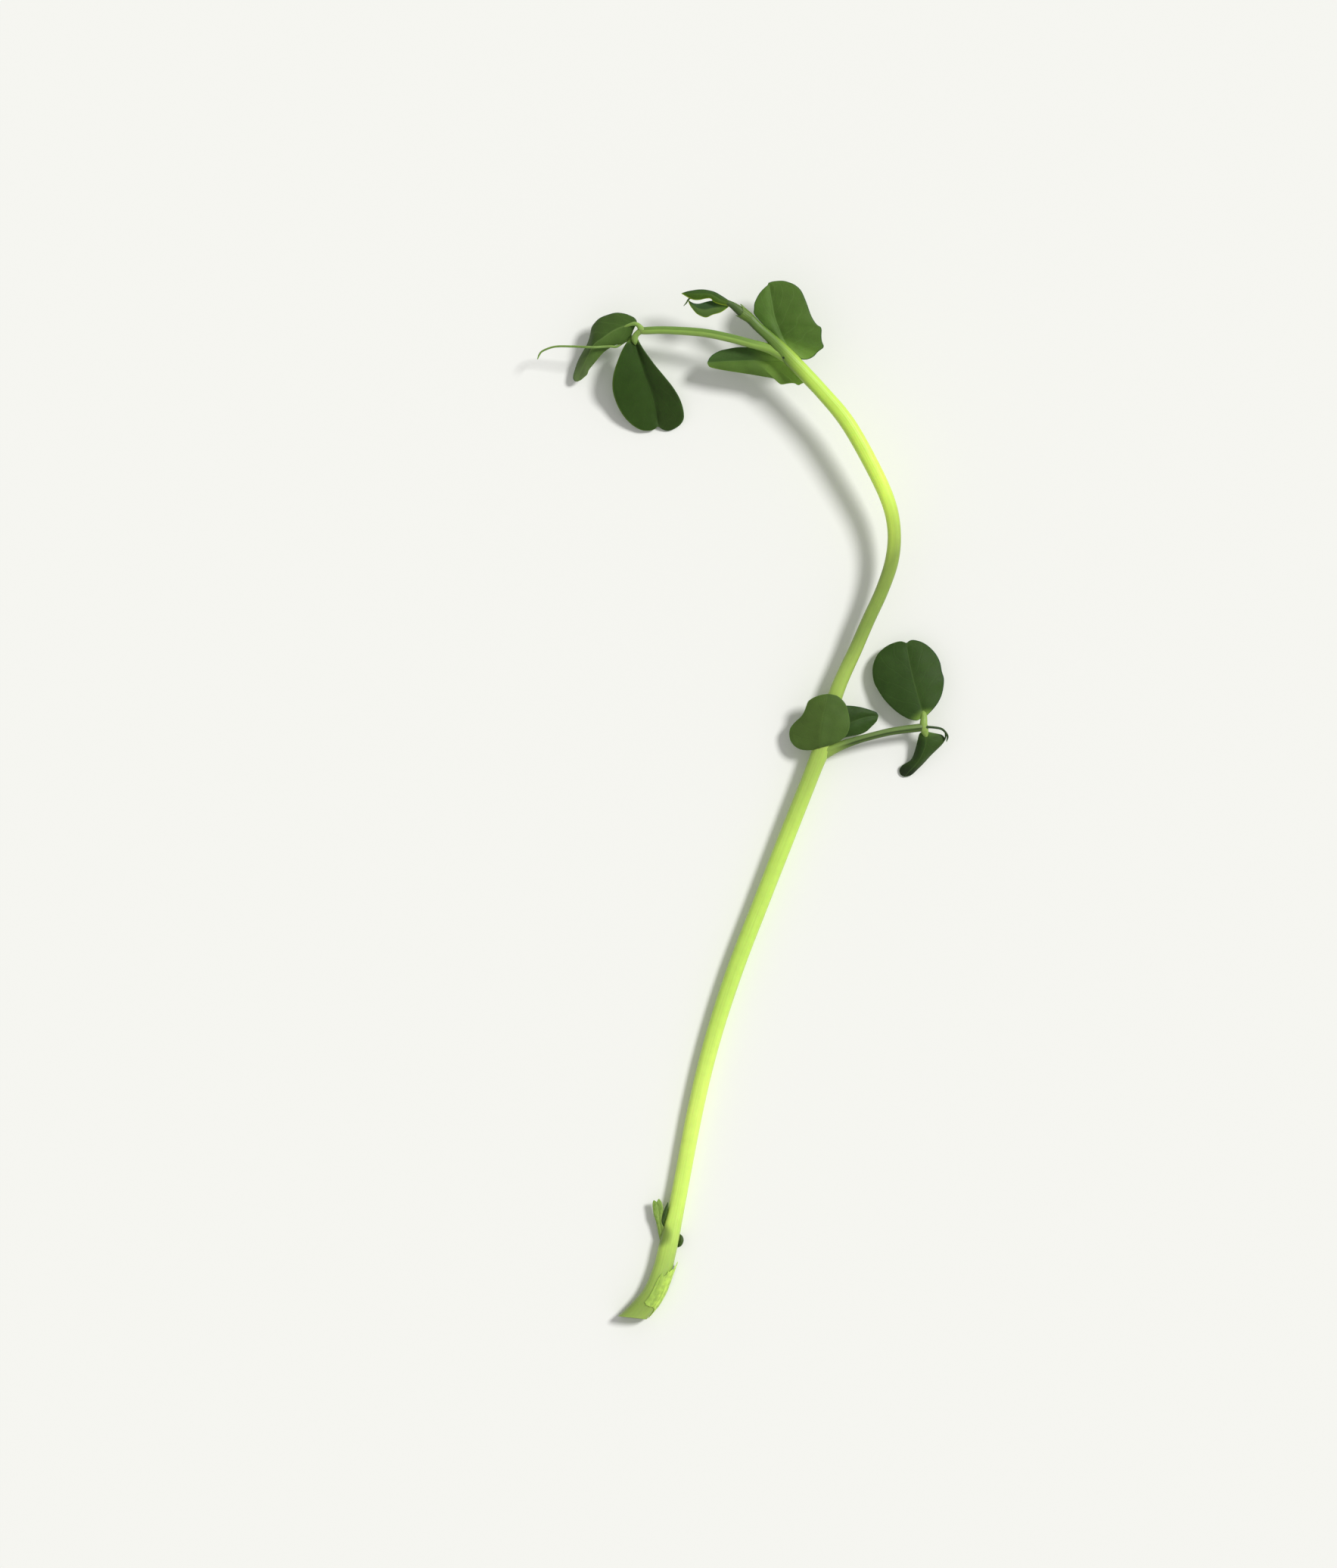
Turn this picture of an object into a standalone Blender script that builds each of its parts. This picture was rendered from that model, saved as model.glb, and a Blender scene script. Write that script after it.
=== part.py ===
"""A cut pea shoot lying on a flat surface.

One stem bends up to a nodding tip. It has two scale-leaf nodes near the cut, a middle node
with a pair of stipules and a two-leaflet leaf, and a top node with a second pair of stipules,
a second leaf and the young folded bud leaf. Each leaf stalk ends in a tendril.
Lengths are in millimetres until a mesh is made: +Z up, +Y towards the tip, and the origin on
the surface under the middle of the footprint.
"""

import math

import bmesh
import bpy
from mathutils import Vector

MM = 0.001
BLADE_THICKNESS = 0.6
TOUCH_GAP = 0.3
STEM_SIDES = 16
STALK_SIDES = 10
TENDRIL_SIDES = 8
STEM_RING_SPACING = 1.7
STALK_RING_SPACING = 1.1
BUD_RING_SPACING = 0.45
STEM_ANGULARITY = 0.05
CURVE_STEPS = 12
STEM_SAMPLES = 400
STALK_SAMPLES = 120
FEWEST_RINGS = 4
# A blade's midrib and margins may bulge towards a stem by this much, beyond the gap.
BLADE_SLACK = 0.15
MARGIN_PHASE = 1.1

STEM_ROUGHNESS = 0.4
STALK_ROUGHNESS = 0.45
BUD_ROUGHNESS = 0.5
BLADE_ROUGHNESS = 0.55

# Colours are linear RGB.
STEM_GREEN = (0.52, 0.80, 0.16)
SHEATH_GREEN = (0.62, 0.86, 0.20)
STALK_GREEN = (0.24, 0.38, 0.07)
STIPULE_GREEN = (0.075, 0.15, 0.025)
LEAFLET_GREEN = (0.032, 0.075, 0.012)
BUD_GREEN = (0.05, 0.12, 0.02)

# The stem's axis from the cut end to the tip: x, y, height and radius. The line starts a
# little beyond the slanting cut.
STEM_AXIS = (
    (-17.8, -76.9, 1.40, 1.78),
    (-15.2, -74.3, 1.34, 1.66),
    (-12.9, -71.5, 1.24, 1.38),
    (-11.4, -67.9, 1.18, 1.30),
    (-10.5, -63.6, 1.20, 1.32),
    (-9.3, -57.5, 1.20, 1.20),
    (-6.8, -44.3, 1.28, 1.18),
    (-4.3, -34.4, 1.38, 1.22),
    (-1.1, -24.5, 1.55, 1.25),
    (2.6, -14.6, 1.75, 1.26),
    (6.6, -4.7, 2.00, 1.24),
    (10.2, 4.4, 2.35, 1.22),
    (11.6, 8.2, 2.55, 1.34),
    (13.5, 15.5, 2.90, 1.12),
    (16.4, 22.1, 3.40, 1.02),
    (18.1, 26.0, 3.85, 1.00),
    (20.0, 30.4, 4.40, 0.93),
    (21.4, 34.7, 5.00, 0.94),
    (21.8, 38.8, 5.50, 1.00),
    (21.0, 42.9, 5.95, 1.06),
    (18.8, 47.8, 6.45, 1.12),
    (15.1, 54.3, 6.90, 1.14),
    (11.3, 58.9, 7.10, 1.08),
    (6.6, 63.8, 7.30, 1.10),
    (4.0, 66.5, 7.45, 0.80),
    (2.0, 68.3, 7.60, 0.62),
    (0.3, 70.2, 7.85, 0.60),
    (-1.2, 71.4, 8.10, 0.52),
    (-2.4, 71.9, 8.25, 0.42),
)
CUT_POINT = (-16.2, -75.25, 0.0)
CUT_DIRECTION = (-0.12, -0.93, 0.34)


def start_empty():
    for old in list(bpy.data.objects):
        bpy.data.objects.remove(old)


def smooth_line(points, count):
    """Samples at even distances along a smooth curve through the points.

    Each point is x, y, z and any further values, and all of them are carried along.
    """
    first = [2 * a - b for a, b in zip(points[0], points[1])]
    last = [2 * a - b for a, b in zip(points[-1], points[-2])]
    padded = [first, *points, last]
    dense = []
    for i in range(1, len(padded) - 2):
        before, here, there, after = padded[i - 1 : i + 3]
        for step in range(CURVE_STEPS):
            t = step / CURVE_STEPS
            dense.append(
                [
                    b + 0.5 * t * (c - a + t * (2 * a - 5 * b + 4 * c - d + t * (3 * (b - c) + d - a)))
                    for a, b, c, d in zip(before, here, there, after)
                ]
            )
    dense.append(list(points[-1]))
    travelled = [0.0]
    for a, b in zip(dense, dense[1:]):
        travelled.append(travelled[-1] + math.dist(a[:3], b[:3]))
    samples = []
    k = 0
    for n in range(count):
        goal = travelled[-1] * n / (count - 1)
        while k < len(dense) - 2 and travelled[k + 1] < goal:
            k += 1
        share = (goal - travelled[k]) / (travelled[k + 1] - travelled[k])
        samples.append([a + share * (b - a) for a, b in zip(dense[k], dense[k + 1])])
    return samples


def line_length(points):
    return sum(math.dist(a[:3], b[:3]) for a, b in zip(points, points[1:]))


def material(name, colour, roughness):
    made = bpy.data.materials.new(name)
    made.use_nodes = True
    shader = made.node_tree.nodes["Principled BSDF"]
    shader.inputs["Base Color"].default_value = (*colour, 1)
    shader.inputs["Roughness"].default_value = roughness
    shader.inputs["Metallic"].default_value = 0
    made.diffuse_color = (*colour, 1)
    return made


def finish(bm, name, colour, roughness):
    """A named object with its own material from a mesh drawn in millimetres."""
    bmesh.ops.scale(bm, vec=(MM, MM, MM), verts=bm.verts)
    mesh = bpy.data.meshes.new(name)
    bm.to_mesh(mesh)
    bm.free()
    mesh.materials.append(material(name, colour, roughness))
    mesh.shade_smooth()
    piece = bpy.data.objects.new(name, mesh)
    bpy.context.scene.collection.objects.link(piece)
    return piece


def tube(axis, spacing, sides, extra=0.0, angularity=0.0):
    """A closed tube along an axis of x, y, z and radius, softly four-angled where asked."""
    rings = max(FEWEST_RINGS, round(line_length(axis) / spacing) + 1)
    samples = smooth_line(axis, rings)
    centres = [Vector(s[:3]) for s in samples]
    bm = bmesh.new()
    loops = []
    for i, sample in enumerate(samples):
        ahead = centres[min(i + 1, rings - 1)] - centres[max(i - 1, 0)]
        across = ahead.cross(Vector((0, 0, 1))).normalized()
        above = across.cross(ahead).normalized()
        loop = []
        for k in range(sides):
            turn = 2 * math.pi * k / sides
            reach = (sample[3] + extra) * (1 - angularity * math.cos(4 * turn))
            offset = across * math.cos(turn) + above * math.sin(turn)
            loop.append(bm.verts.new(centres[i] + reach * offset))
        loops.append(loop)
    for near, far in zip(loops, loops[1:]):
        for k in range(sides):
            n = (k + 1) % sides
            bm.faces.new((near[k], near[n], far[n], far[k]))
    bm.faces.new(loops[0])
    bm.faces.new(loops[-1])
    bmesh.ops.recalc_face_normals(bm, faces=bm.faces)
    return bm


def slice_off(bm, point, direction):
    """Removes what lies beyond a plane and closes the cut with one flat face."""
    cut = bmesh.ops.bisect_plane(
        bm,
        geom=bm.verts[:] + bm.edges[:] + bm.faces[:],
        plane_co=point,
        plane_no=direction,
        clear_outer=True,
    )
    edges = [g for g in cut["geom_cut"] if isinstance(g, bmesh.types.BMEdge)]
    bmesh.ops.holes_fill(bm, edges=edges)
    bmesh.ops.recalc_face_normals(bm, faces=bm.faces)


def trim(piece, cutter, operation="DIFFERENCE"):
    cutter.hide_render = True
    cutter.display_type = "WIRE"
    boolean = piece.modifiers.new(cutter.name, "BOOLEAN")
    boolean.operation = operation
    boolean.object = cutter
    boolean.solver = "EXACT"


def stalk(name, lines, spacing, sides, colour, cutters):
    """A leaf stalk with its branches joined on, trimmed where it meets what carries it."""
    main = finish(tube(lines[0], spacing, sides), name, colour, STALK_ROUGHNESS)
    for number, line in enumerate(lines[1:]):
        branch = tube(line, spacing, sides)
        trim(main, finish(branch, f"{name}_branch_{number}", colour, STALK_ROUGHNESS), "UNION")
    for cutter in cutters:
        trim(main, cutter)
    return main


def bud(name, line, cutters):
    """A small closed bud, pointed at both ends of its line."""
    made = finish(tube(line, BUD_RING_SPACING, TENDRIL_SIDES), name, BUD_GREEN, BUD_ROUGHNESS)
    for cutter in cutters:
        trim(made, cutter)
    return made


def keep_clear(point, axes, room):
    """Moves a point of a blade outwards until it is clear of every stem or stalk given."""
    for axis in axes:
        nearest = min(axis, key=lambda s: (Vector(s[:3]) - point).length)
        away = point - Vector(nearest[:3])
        least = nearest[3] + room
        if away.length < least:
            point = Vector(nearest[:3]) + away.normalized() * least
    return point


def blade(name, root, left, rib, right, colour, rows=14, across=5, bulge=0.3, wave=0.12,
          waves=3, around=(), thickness=BLADE_THICKNESS):
    """A thin leaf blade between two margins and a midrib, all given from its root to its tip.

    The two halves arch by bulge between midrib and margin, and the margins are waved.
    """
    lefts, ribs, rights = (
        [Vector(s) for s in smooth_line(line, rows + 1)] for line in (left, rib, right)
    )
    room = TOUCH_GAP + thickness / 2 + BLADE_SLACK
    bm = bmesh.new()
    grid = []
    for i in range(rows + 1):
        along = i / rows
        row = []
        for j in range(-across, across + 1):
            share = abs(j) / across
            point = ribs[i].lerp(lefts[i] if j < 0 else rights[i], share)
            point.z += bulge * math.sin(math.pi * share) * math.sin(math.pi * along)
            ripple = math.sin(2 * math.pi * waves * along + (MARGIN_PHASE if j < 0 else 0.0))
            point.z += wave * share**3 * ripple * math.sin(math.pi * along)
            point = keep_clear(point + Vector(root), around, room)
            row.append(bm.verts.new(point))
            if i == rows:
                break
        grid.append(row)
    for near, far in zip(grid, grid[1:]):
        for j in range(len(near) - 1):
            if len(far) == 1:
                bm.faces.new((near[j], near[j + 1], far[0]))
            elif j < across:
                bm.faces.new((near[j], near[j + 1], far[j]))
                bm.faces.new((near[j + 1], far[j + 1], far[j]))
            else:
                bm.faces.new((near[j], near[j + 1], far[j + 1]))
                bm.faces.new((near[j], far[j + 1], far[j]))
    piece = finish(bm, name, colour, BLADE_ROUGHNESS)
    solid = piece.modifiers.new("thickness", "SOLIDIFY")
    solid.thickness = thickness * MM
    solid.offset = 0
    solid.use_quality_normals = True
    return piece


start_empty()

# The stem, cut off slanting at its lower end and flattened where it lies on the surface.
stem_mesh = tube(STEM_AXIS, STEM_RING_SPACING, STEM_SIDES, angularity=STEM_ANGULARITY)
slice_off(stem_mesh, CUT_POINT, CUT_DIRECTION)
slice_off(stem_mesh, (0, 0, 0), (0, 0, -1))
finish(stem_mesh, "stem", STEM_GREEN, STEM_ROUGHNESS)
stem_line = smooth_line(STEM_AXIS, STEM_SAMPLES)

# What meets the stem is trimmed by this slightly fatter copy of it.
around_stem = finish(
    tube(STEM_AXIS, STEM_RING_SPACING, STEM_SIDES, TOUCH_GAP, STEM_ANGULARITY),
    "around_stem",
    STEM_GREEN,
    STEM_ROUGHNESS,
)

# Lowest node: what is left of a torn scale leaf clasps the right of the stem.
blade(
    "torn_scale_leaf",
    root=(-13.1, -73.0, 3.1),
    left=((-1.0, 0.6, 0.0), (-0.3, 2.1, 0.2), (0.8, 3.3, 0.1), (1.4, 4.7, 0.0), (1.9, 4.1, 0.0)),
    rib=((0.0, 0.2, 0.0), (0.8, 1.6, -0.2), (1.5, 2.9, -0.2), (1.9, 4.1, 0.0)),
    right=((0.9, -0.4, -1.1), (2.0, 1.1, -1.4), (3.2, 3.7, -1.4), (3.9, 6.0, -1.3),
           (2.9, 4.8, -0.5), (1.9, 4.1, 0.0)),
    colour=SHEATH_GREEN,
    rows=11,
    across=3,
    bulge=0.0,
    wave=0.0,
    around=(stem_line,),
)

# Second node: a forked scale leaf on the left with a bud in its axil, and a bud opposite.
bud(
    "axil_bud",
    ((-11.7, -62.4, 1.5, 0.12), (-11.65, -61.3, 1.6, 0.34), (-11.4, -60.1, 1.7, 0.32),
     (-11.1, -58.9, 1.8, 0.10)),
    (around_stem,),
)
bud(
    "opposite_bud",
    ((-9.1, -65.0, 0.62, 0.12), (-8.9, -64.3, 0.62, 0.42), (-8.8, -63.4, 0.66, 0.44),
     (-8.75, -62.7, 0.70, 0.12)),
    (around_stem,),
)
blade(
    "scale_leaf",
    root=(-12.6, -63.1, 1.3),
    left=((-0.2, 0.3, 0.0), (-0.5, 1.7, 0.1), (-0.6, 3.3, 0.2), (-0.5, 5.1, 0.3), (0.0, 4.7, 0.4)),
    rib=((0.0, 0.1, 0.0), (-0.1, 1.7, 0.1), (-0.1, 3.3, 0.3), (0.0, 4.7, 0.4)),
    right=((0.3, 0.3, 0.0), (0.3, 1.7, 0.1), (0.3, 3.2, 0.3), (0.5, 5.2, 0.4), (0.0, 4.7, 0.4)),
    colour=SHEATH_GREEN,
    rows=7,
    across=2,
    bulge=0.0,
    wave=0.0,
)

# Middle node: the leaf stalk ends in two short leaflet stalks and a curled tendril.
middle_stalk_line = (
    (11.2, 7.1, 2.5, 0.98),
    (12.8, 7.4, 2.8, 0.88),
    (14.3, 8.0, 3.2, 0.72),
    (16.2, 8.5, 3.5, 0.58),
    (17.9, 8.9, 3.6, 0.52),
    (21.4, 9.9, 3.6, 0.53),
    (25.6, 10.6, 3.3, 0.52),
)
stalk(
    "middle_leaf_stalk",
    (
        middle_stalk_line,
        ((25.4, 10.5, 3.3, 0.42), (26.0, 11.0, 3.3, 0.48), (26.1, 11.7, 3.3, 0.45)),
        ((25.3, 10.7, 3.3, 0.42), (25.9, 10.5, 3.2, 0.42), (26.0, 10.1, 3.1, 0.38)),
        (
            (25.3, 10.6, 3.4, 0.34),
            (27.2, 10.5, 3.6, 0.28),
            (28.6, 10.2, 3.5, 0.26),
            (29.4, 9.5, 3.1, 0.25),
            (29.6, 8.8, 2.7, 0.25),
        ),
    ),
    STALK_RING_SPACING,
    STALK_SIDES,
    STALK_GREEN,
    (around_stem,),
)
middle_stalk_samples = smooth_line(middle_stalk_line, STALK_SAMPLES)

blade(
    "middle_stipule_front",
    root=(11.0, 8.1, 4.5),
    left=((-1.3, 0.0, -0.5), (-2.4, -1.0, -1.3), (-3.8, -0.5, -1.9), (-4.5, 1.1, -2.2),
          (-3.9, 2.9, -1.8), (-2.4, 4.5, -0.9), (-1.6, 6.2, -0.2), (-0.1, 7.0, 0.3),
          (1.4, 7.2, 0.5)),
    rib=((0.0, 0.0, 0.0), (0.1, 2.0, 0.4), (0.6, 4.6, 0.6), (1.4, 7.2, 0.5)),
    right=((1.5, 0.1, -0.2), (3.3, 0.8, -0.4), (4.1, 2.4, -0.2), (4.0, 4.8, 0.2),
           (3.1, 6.6, 0.5), (1.4, 7.2, 0.5)),
    colour=STIPULE_GREEN,
    rows=12,
    around=(stem_line, middle_stalk_samples),
)
blade(
    "middle_stipule_back",
    root=(13.4, 9.7, 2.4),
    left=((0.2, 1.1, 0.2), (0.6, 2.9, 0.1), (2.1, 3.9, 0.0), (4.3, 3.4, -0.4), (6.0, 2.6, -0.7)),
    rib=((0.0, 0.0, 0.0), (1.5, 1.2, 0.0), (3.6, 2.1, -0.2), (6.0, 2.6, -0.7)),
    right=((0.2, -0.7, -0.3), (2.2, -0.4, -0.6), (4.3, 0.2, -0.9), (5.7, 1.4, -0.9),
           (6.0, 2.6, -0.7)),
    colour=LEAFLET_GREEN,
    rows=9,
    around=(stem_line, middle_stalk_samples),
)
blade(
    "middle_leaflet_round",
    root=(26.1, 12.1, 3.3),
    left=((-0.4, 0.2, -0.1), (-2.2, -0.1, -0.2), (-4.8, 1.4, -0.5), (-6.8, 4.4, -1.0),
          (-7.2, 6.9, -1.2), (-6.3, 9.2, -1.4), (-4.1, 10.7, -1.3), (-2.6, 10.5, -0.9)),
    rib=((0.0, 0.0, 0.0), (-0.9, 3.0, 0.3), (-1.8, 5.9, 0.1), (-2.6, 10.5, -0.9)),
    right=((0.4, 0.2, 0.0), (1.5, 1.2, 0.0), (2.7, 4.0, -0.3), (2.7, 6.7, -0.6),
           (1.3, 9.7, -1.0), (-1.4, 11.0, -1.1), (-2.6, 10.5, -0.9)),
    colour=LEAFLET_GREEN,
)
blade(
    "middle_leaflet_folded",
    root=(26.0, 9.8, 3.1),
    left=((-0.3, 0.0, -0.3), (-0.9, -1.0, -1.1), (-1.3, -3.2, -1.8), (-2.0, -4.0, -2.1),
          (-3.0, -4.5, -2.4), (-3.4, -5.5, -2.7), (-2.7, -6.3, -2.8)),
    rib=((0.0, 0.0, 0.0), (0.3, -1.3, -0.1), (-0.1, -3.0, -0.5), (-1.3, -4.6, -1.4),
         (-2.7, -6.3, -2.8)),
    right=((0.4, 0.0, -0.2), (2.0, -0.2, -0.4), (3.1, -0.9, -0.8), (2.2, -2.2, -1.2),
           (0.2, -4.3, -2.0), (-1.7, -6.1, -2.7), (-2.7, -6.3, -2.8)),
    colour=LEAFLET_GREEN,
    rows=12,
    across=4,
    wave=0.05,
)

# Top node: the second leaf's stalk, with its tendril running on over the left leaflet.
top_stalk_line = (
    (6.4, 63.6, 7.3, 0.80),
    (5.3, 64.3, 7.4, 0.74),
    (3.3, 65.2, 7.4, 0.66),
    (0.7, 65.9, 7.4, 0.63),
    (-1.9, 66.6, 7.3, 0.63),
    (-5.9, 67.4, 7.0, 0.62),
    (-11.2, 67.8, 6.5, 0.57),
    (-15.0, 67.6, 6.1, 0.55),
)
stalk(
    "top_leaf_stalk",
    (
        top_stalk_line,
        ((-14.6, 67.5, 6.1, 0.45), (-15.2, 68.4, 6.0, 0.48), (-15.8, 68.8, 5.9, 0.45),
         (-16.3, 68.7, 5.8, 0.40)),
        ((-14.6, 67.7, 6.1, 0.45), (-15.7, 67.4, 5.9, 0.48), (-16.0, 66.7, 5.5, 0.42)),
        ((-14.6, 67.7, 6.2, 0.38), (-15.8, 67.2, 6.2, 0.32), (-16.7, 66.8, 6.0, 0.28),
         (-18.7, 66.1, 5.7, 0.27), (-21.7, 65.6, 5.6, 0.26), (-24.7, 65.8, 5.2, 0.25),
         (-27.2, 65.8, 4.8, 0.25), (-28.9, 65.2, 4.4, 0.25), (-29.7, 63.8, 4.1, 0.25)),
    ),
    STALK_RING_SPACING,
    STALK_SIDES,
    STALK_GREEN,
    (around_stem,),
)
top_stalk_samples = smooth_line(top_stalk_line, STALK_SAMPLES)

blade(
    "top_stipule_right",
    root=(7.1, 64.6, 6.0),
    left=((-0.5, 0.4, -0.3), (-2.4, 1.7, -0.4), (-4.4, 3.4, -0.3), (-5.5, 6.0, -0.1),
          (-4.9, 8.1, 0.4), (-3.2, 9.9, 0.8)),
    rib=((0.0, 0.0, -0.2), (-0.9, 1.7, -0.3), (-2.2, 5.5, 0.1), (-3.2, 9.9, 0.8)),
    right=((0.4, -0.3, -0.1), (2.0, -1.0, -0.3), (3.5, -0.5, -0.2), (4.5, 0.8, 0.1),
           (4.2, 3.0, 0.5), (2.3, 6.6, 1.1), (0.7, 9.3, 1.3), (-1.5, 10.2, 1.1),
           (-3.2, 9.9, 0.8)),
    colour=STIPULE_GREEN,
    around=(stem_line, top_stalk_samples),
)
blade(
    "top_stipule_left",
    root=(6.5, 62.6, 5.8),
    left=((-0.7, 0.9, 0.0), (-3.0, 2.5, -0.1), (-5.9, 2.8, -0.2), (-9.1, 2.4, -0.4),
          (-10.9, 1.5, -0.6), (-11.4, 0.6, -0.8)),
    rib=((0.0, 0.0, 0.0), (-2.2, 0.0, -0.1), (-5.1, 0.3, -0.2), (-8.4, 0.8, -0.4),
         (-11.4, 0.6, -0.8)),
    right=((0.9, -0.5, -0.1), (2.1, -1.7, -0.3), (1.4, -2.9, -0.6), (0.6, -2.5, -0.6),
           (-0.9, -2.7, -0.6), (-2.3, -1.8, -0.5), (-5.9, -1.1, -0.6), (-10.4, -0.3, -0.8),
           (-11.4, 0.6, -0.8)),
    colour=STIPULE_GREEN,
    around=(stem_line, top_stalk_samples),
)
blade(
    "top_leaflet_heart",
    root=(-16.1, 66.2, 5.3),
    left=((-0.3, -0.1, 0.0), (-1.7, -2.3, -0.1), (-2.6, -5.0, -0.9), (-2.3, -7.8, -2.2),
          (-1.0, -10.5, -3.4), (0.9, -12.3, -4.2), (2.5, -12.7, -4.6), (3.9, -12.0, -4.5)),
    rib=((0.0, 0.0, 0.0), (0.9, -3.1, -1.1), (1.8, -6.3, -2.4), (2.9, -9.5, -3.7),
         (3.9, -12.0, -4.5)),
    right=((0.4, 0.1, 0.0), (1.9, -1.8, -0.1), (5.2, -5.5, -1.7), (7.3, -8.7, -3.6),
           (7.7, -11.0, -4.6), (5.7, -12.7, -5.0), (4.6, -12.5, -4.9), (3.9, -12.0, -4.5)),
    colour=LEAFLET_GREEN,
)
blade(
    "top_leaflet_folded",
    root=(-16.8, 68.6, 5.8),
    left=((0.1, 0.3, -0.2), (1.2, 1.0, -0.6), (0.3, 1.7, -1.0), (-1.9, 1.9, -1.5),
          (-4.1, 1.0, -2.0), (-5.1, -0.6, -2.6), (-5.6, -2.5, -3.1), (-7.4, -5.7, -3.9),
          (-7.9, -7.2, -4.2), (-7.6, -7.9, -4.3)),
    rib=((0.0, 0.0, 0.0), (-1.9, -0.7, -0.2), (-3.5, -1.8, -0.6), (-5.2, -2.9, -1.4),
         (-6.5, -5.0, -2.7), (-7.6, -7.9, -4.3)),
    right=((0.1, -0.3, -0.4), (0.0, -1.4, -0.9), (-2.1, -3.1, -1.8), (-3.5, -3.9, -2.3),
           (-5.7, -6.8, -3.7), (-6.8, -7.7, -4.2), (-7.6, -7.9, -4.3)),
    colour=LEAFLET_GREEN,
    across=4,
    wave=0.05,
)

# The tip of the shoot: a young leaf still folded, clasped at its foot by its own stipule.
blade(
    "bud_stipule",
    root=(2.0, 67.9, 8.7),
    left=((-0.6, 0.0, -0.4), (-1.6, 0.7, -1.0), (-2.6, 1.6, -1.1), (-3.2, 2.7, -0.8),
          (-3.3, 3.9, 0.2)),
    rib=((0.0, 0.0, 0.0), (-1.1, 1.2, 0.1), (-2.3, 2.7, 0.4), (-3.3, 3.9, 0.2)),
    right=((0.3, 0.8, -0.4), (-0.6, 2.0, -0.4), (-1.4, 3.0, -0.1), (-2.4, 3.9, 0.3),
           (-3.3, 3.9, 0.2)),
    colour=BUD_GREEN,
    rows=7,
    across=3,
    bulge=0.1,
    wave=0.0,
    around=(stem_line,),
)
blade(
    "bud_leaflet_upper",
    root=(-3.1, 72.3, 8.9),
    left=((-0.2, 0.3, -0.1), (-1.6, 0.9, 0.0), (-3.0, 1.0, -0.1), (-4.6, 0.8, -0.2),
          (-5.9, 0.5, -0.1)),
    rib=((0.0, 0.0, 0.0), (-1.9, 0.4, 0.3), (-3.9, 0.4, 0.2), (-5.9, 0.5, -0.1)),
    right=((-0.2, -0.2, -0.2), (-1.5, -0.1, -0.1), (-3.5, -0.2, -0.2), (-5.0, 0.0, -0.2),
           (-5.9, 0.5, -0.1)),
    colour=BUD_GREEN,
    rows=8,
    across=3,
    bulge=0.1,
    wave=0.0,
)
blade(
    "bud_leaflet_lower",
    root=(-2.7, 71.1, 7.7),
    left=((-0.4, 0.2, 0.1), (-2.0, 0.5, 0.0), (-3.5, 0.2, -0.1), (-4.6, 0.2, -0.1),
          (-5.2, 0.5, -0.1)),
    rib=((0.0, 0.0, 0.0), (-1.9, -0.5, 0.2), (-3.7, -0.3, 0.1), (-5.2, 0.5, -0.1)),
    right=((0.0, -0.4, -0.2), (-1.4, -1.1, -0.5), (-2.8, -1.5, -0.6), (-4.1, -0.9, -0.5),
           (-4.8, -0.1, -0.3), (-5.2, 0.5, -0.1)),
    colour=BUD_GREEN,
    rows=8,
    across=3,
    bulge=0.1,
    wave=0.0,
)
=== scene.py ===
"""A fresh cut pea shoot lying on a pale table, photographed from straight above.

The sections follow the plant from its cut foot to its tip. It is drawn in millimetres and
becomes metres when its meshes are made.
"""

import math

import bmesh
import bpy
from mathutils import Matrix, Vector, noise


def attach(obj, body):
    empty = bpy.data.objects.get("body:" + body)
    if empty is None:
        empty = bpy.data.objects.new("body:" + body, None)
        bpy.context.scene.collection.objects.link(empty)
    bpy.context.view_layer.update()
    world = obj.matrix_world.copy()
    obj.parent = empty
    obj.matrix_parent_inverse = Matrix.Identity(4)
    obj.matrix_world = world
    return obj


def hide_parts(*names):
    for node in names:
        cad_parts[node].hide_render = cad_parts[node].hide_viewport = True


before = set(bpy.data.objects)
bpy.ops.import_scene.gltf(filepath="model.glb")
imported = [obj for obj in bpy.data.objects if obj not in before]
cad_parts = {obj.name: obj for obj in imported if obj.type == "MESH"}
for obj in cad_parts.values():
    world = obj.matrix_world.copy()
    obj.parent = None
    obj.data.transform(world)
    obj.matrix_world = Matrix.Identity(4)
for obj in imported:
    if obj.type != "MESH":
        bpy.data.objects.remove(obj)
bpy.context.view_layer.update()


# The stem: one soft, juicy, four-ridged green tube, cut off slanting with a knife at its foot.
# It swells a little at each leaf node, bends up off the table and runs out thin into the tip.

MM = 0.001
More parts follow.
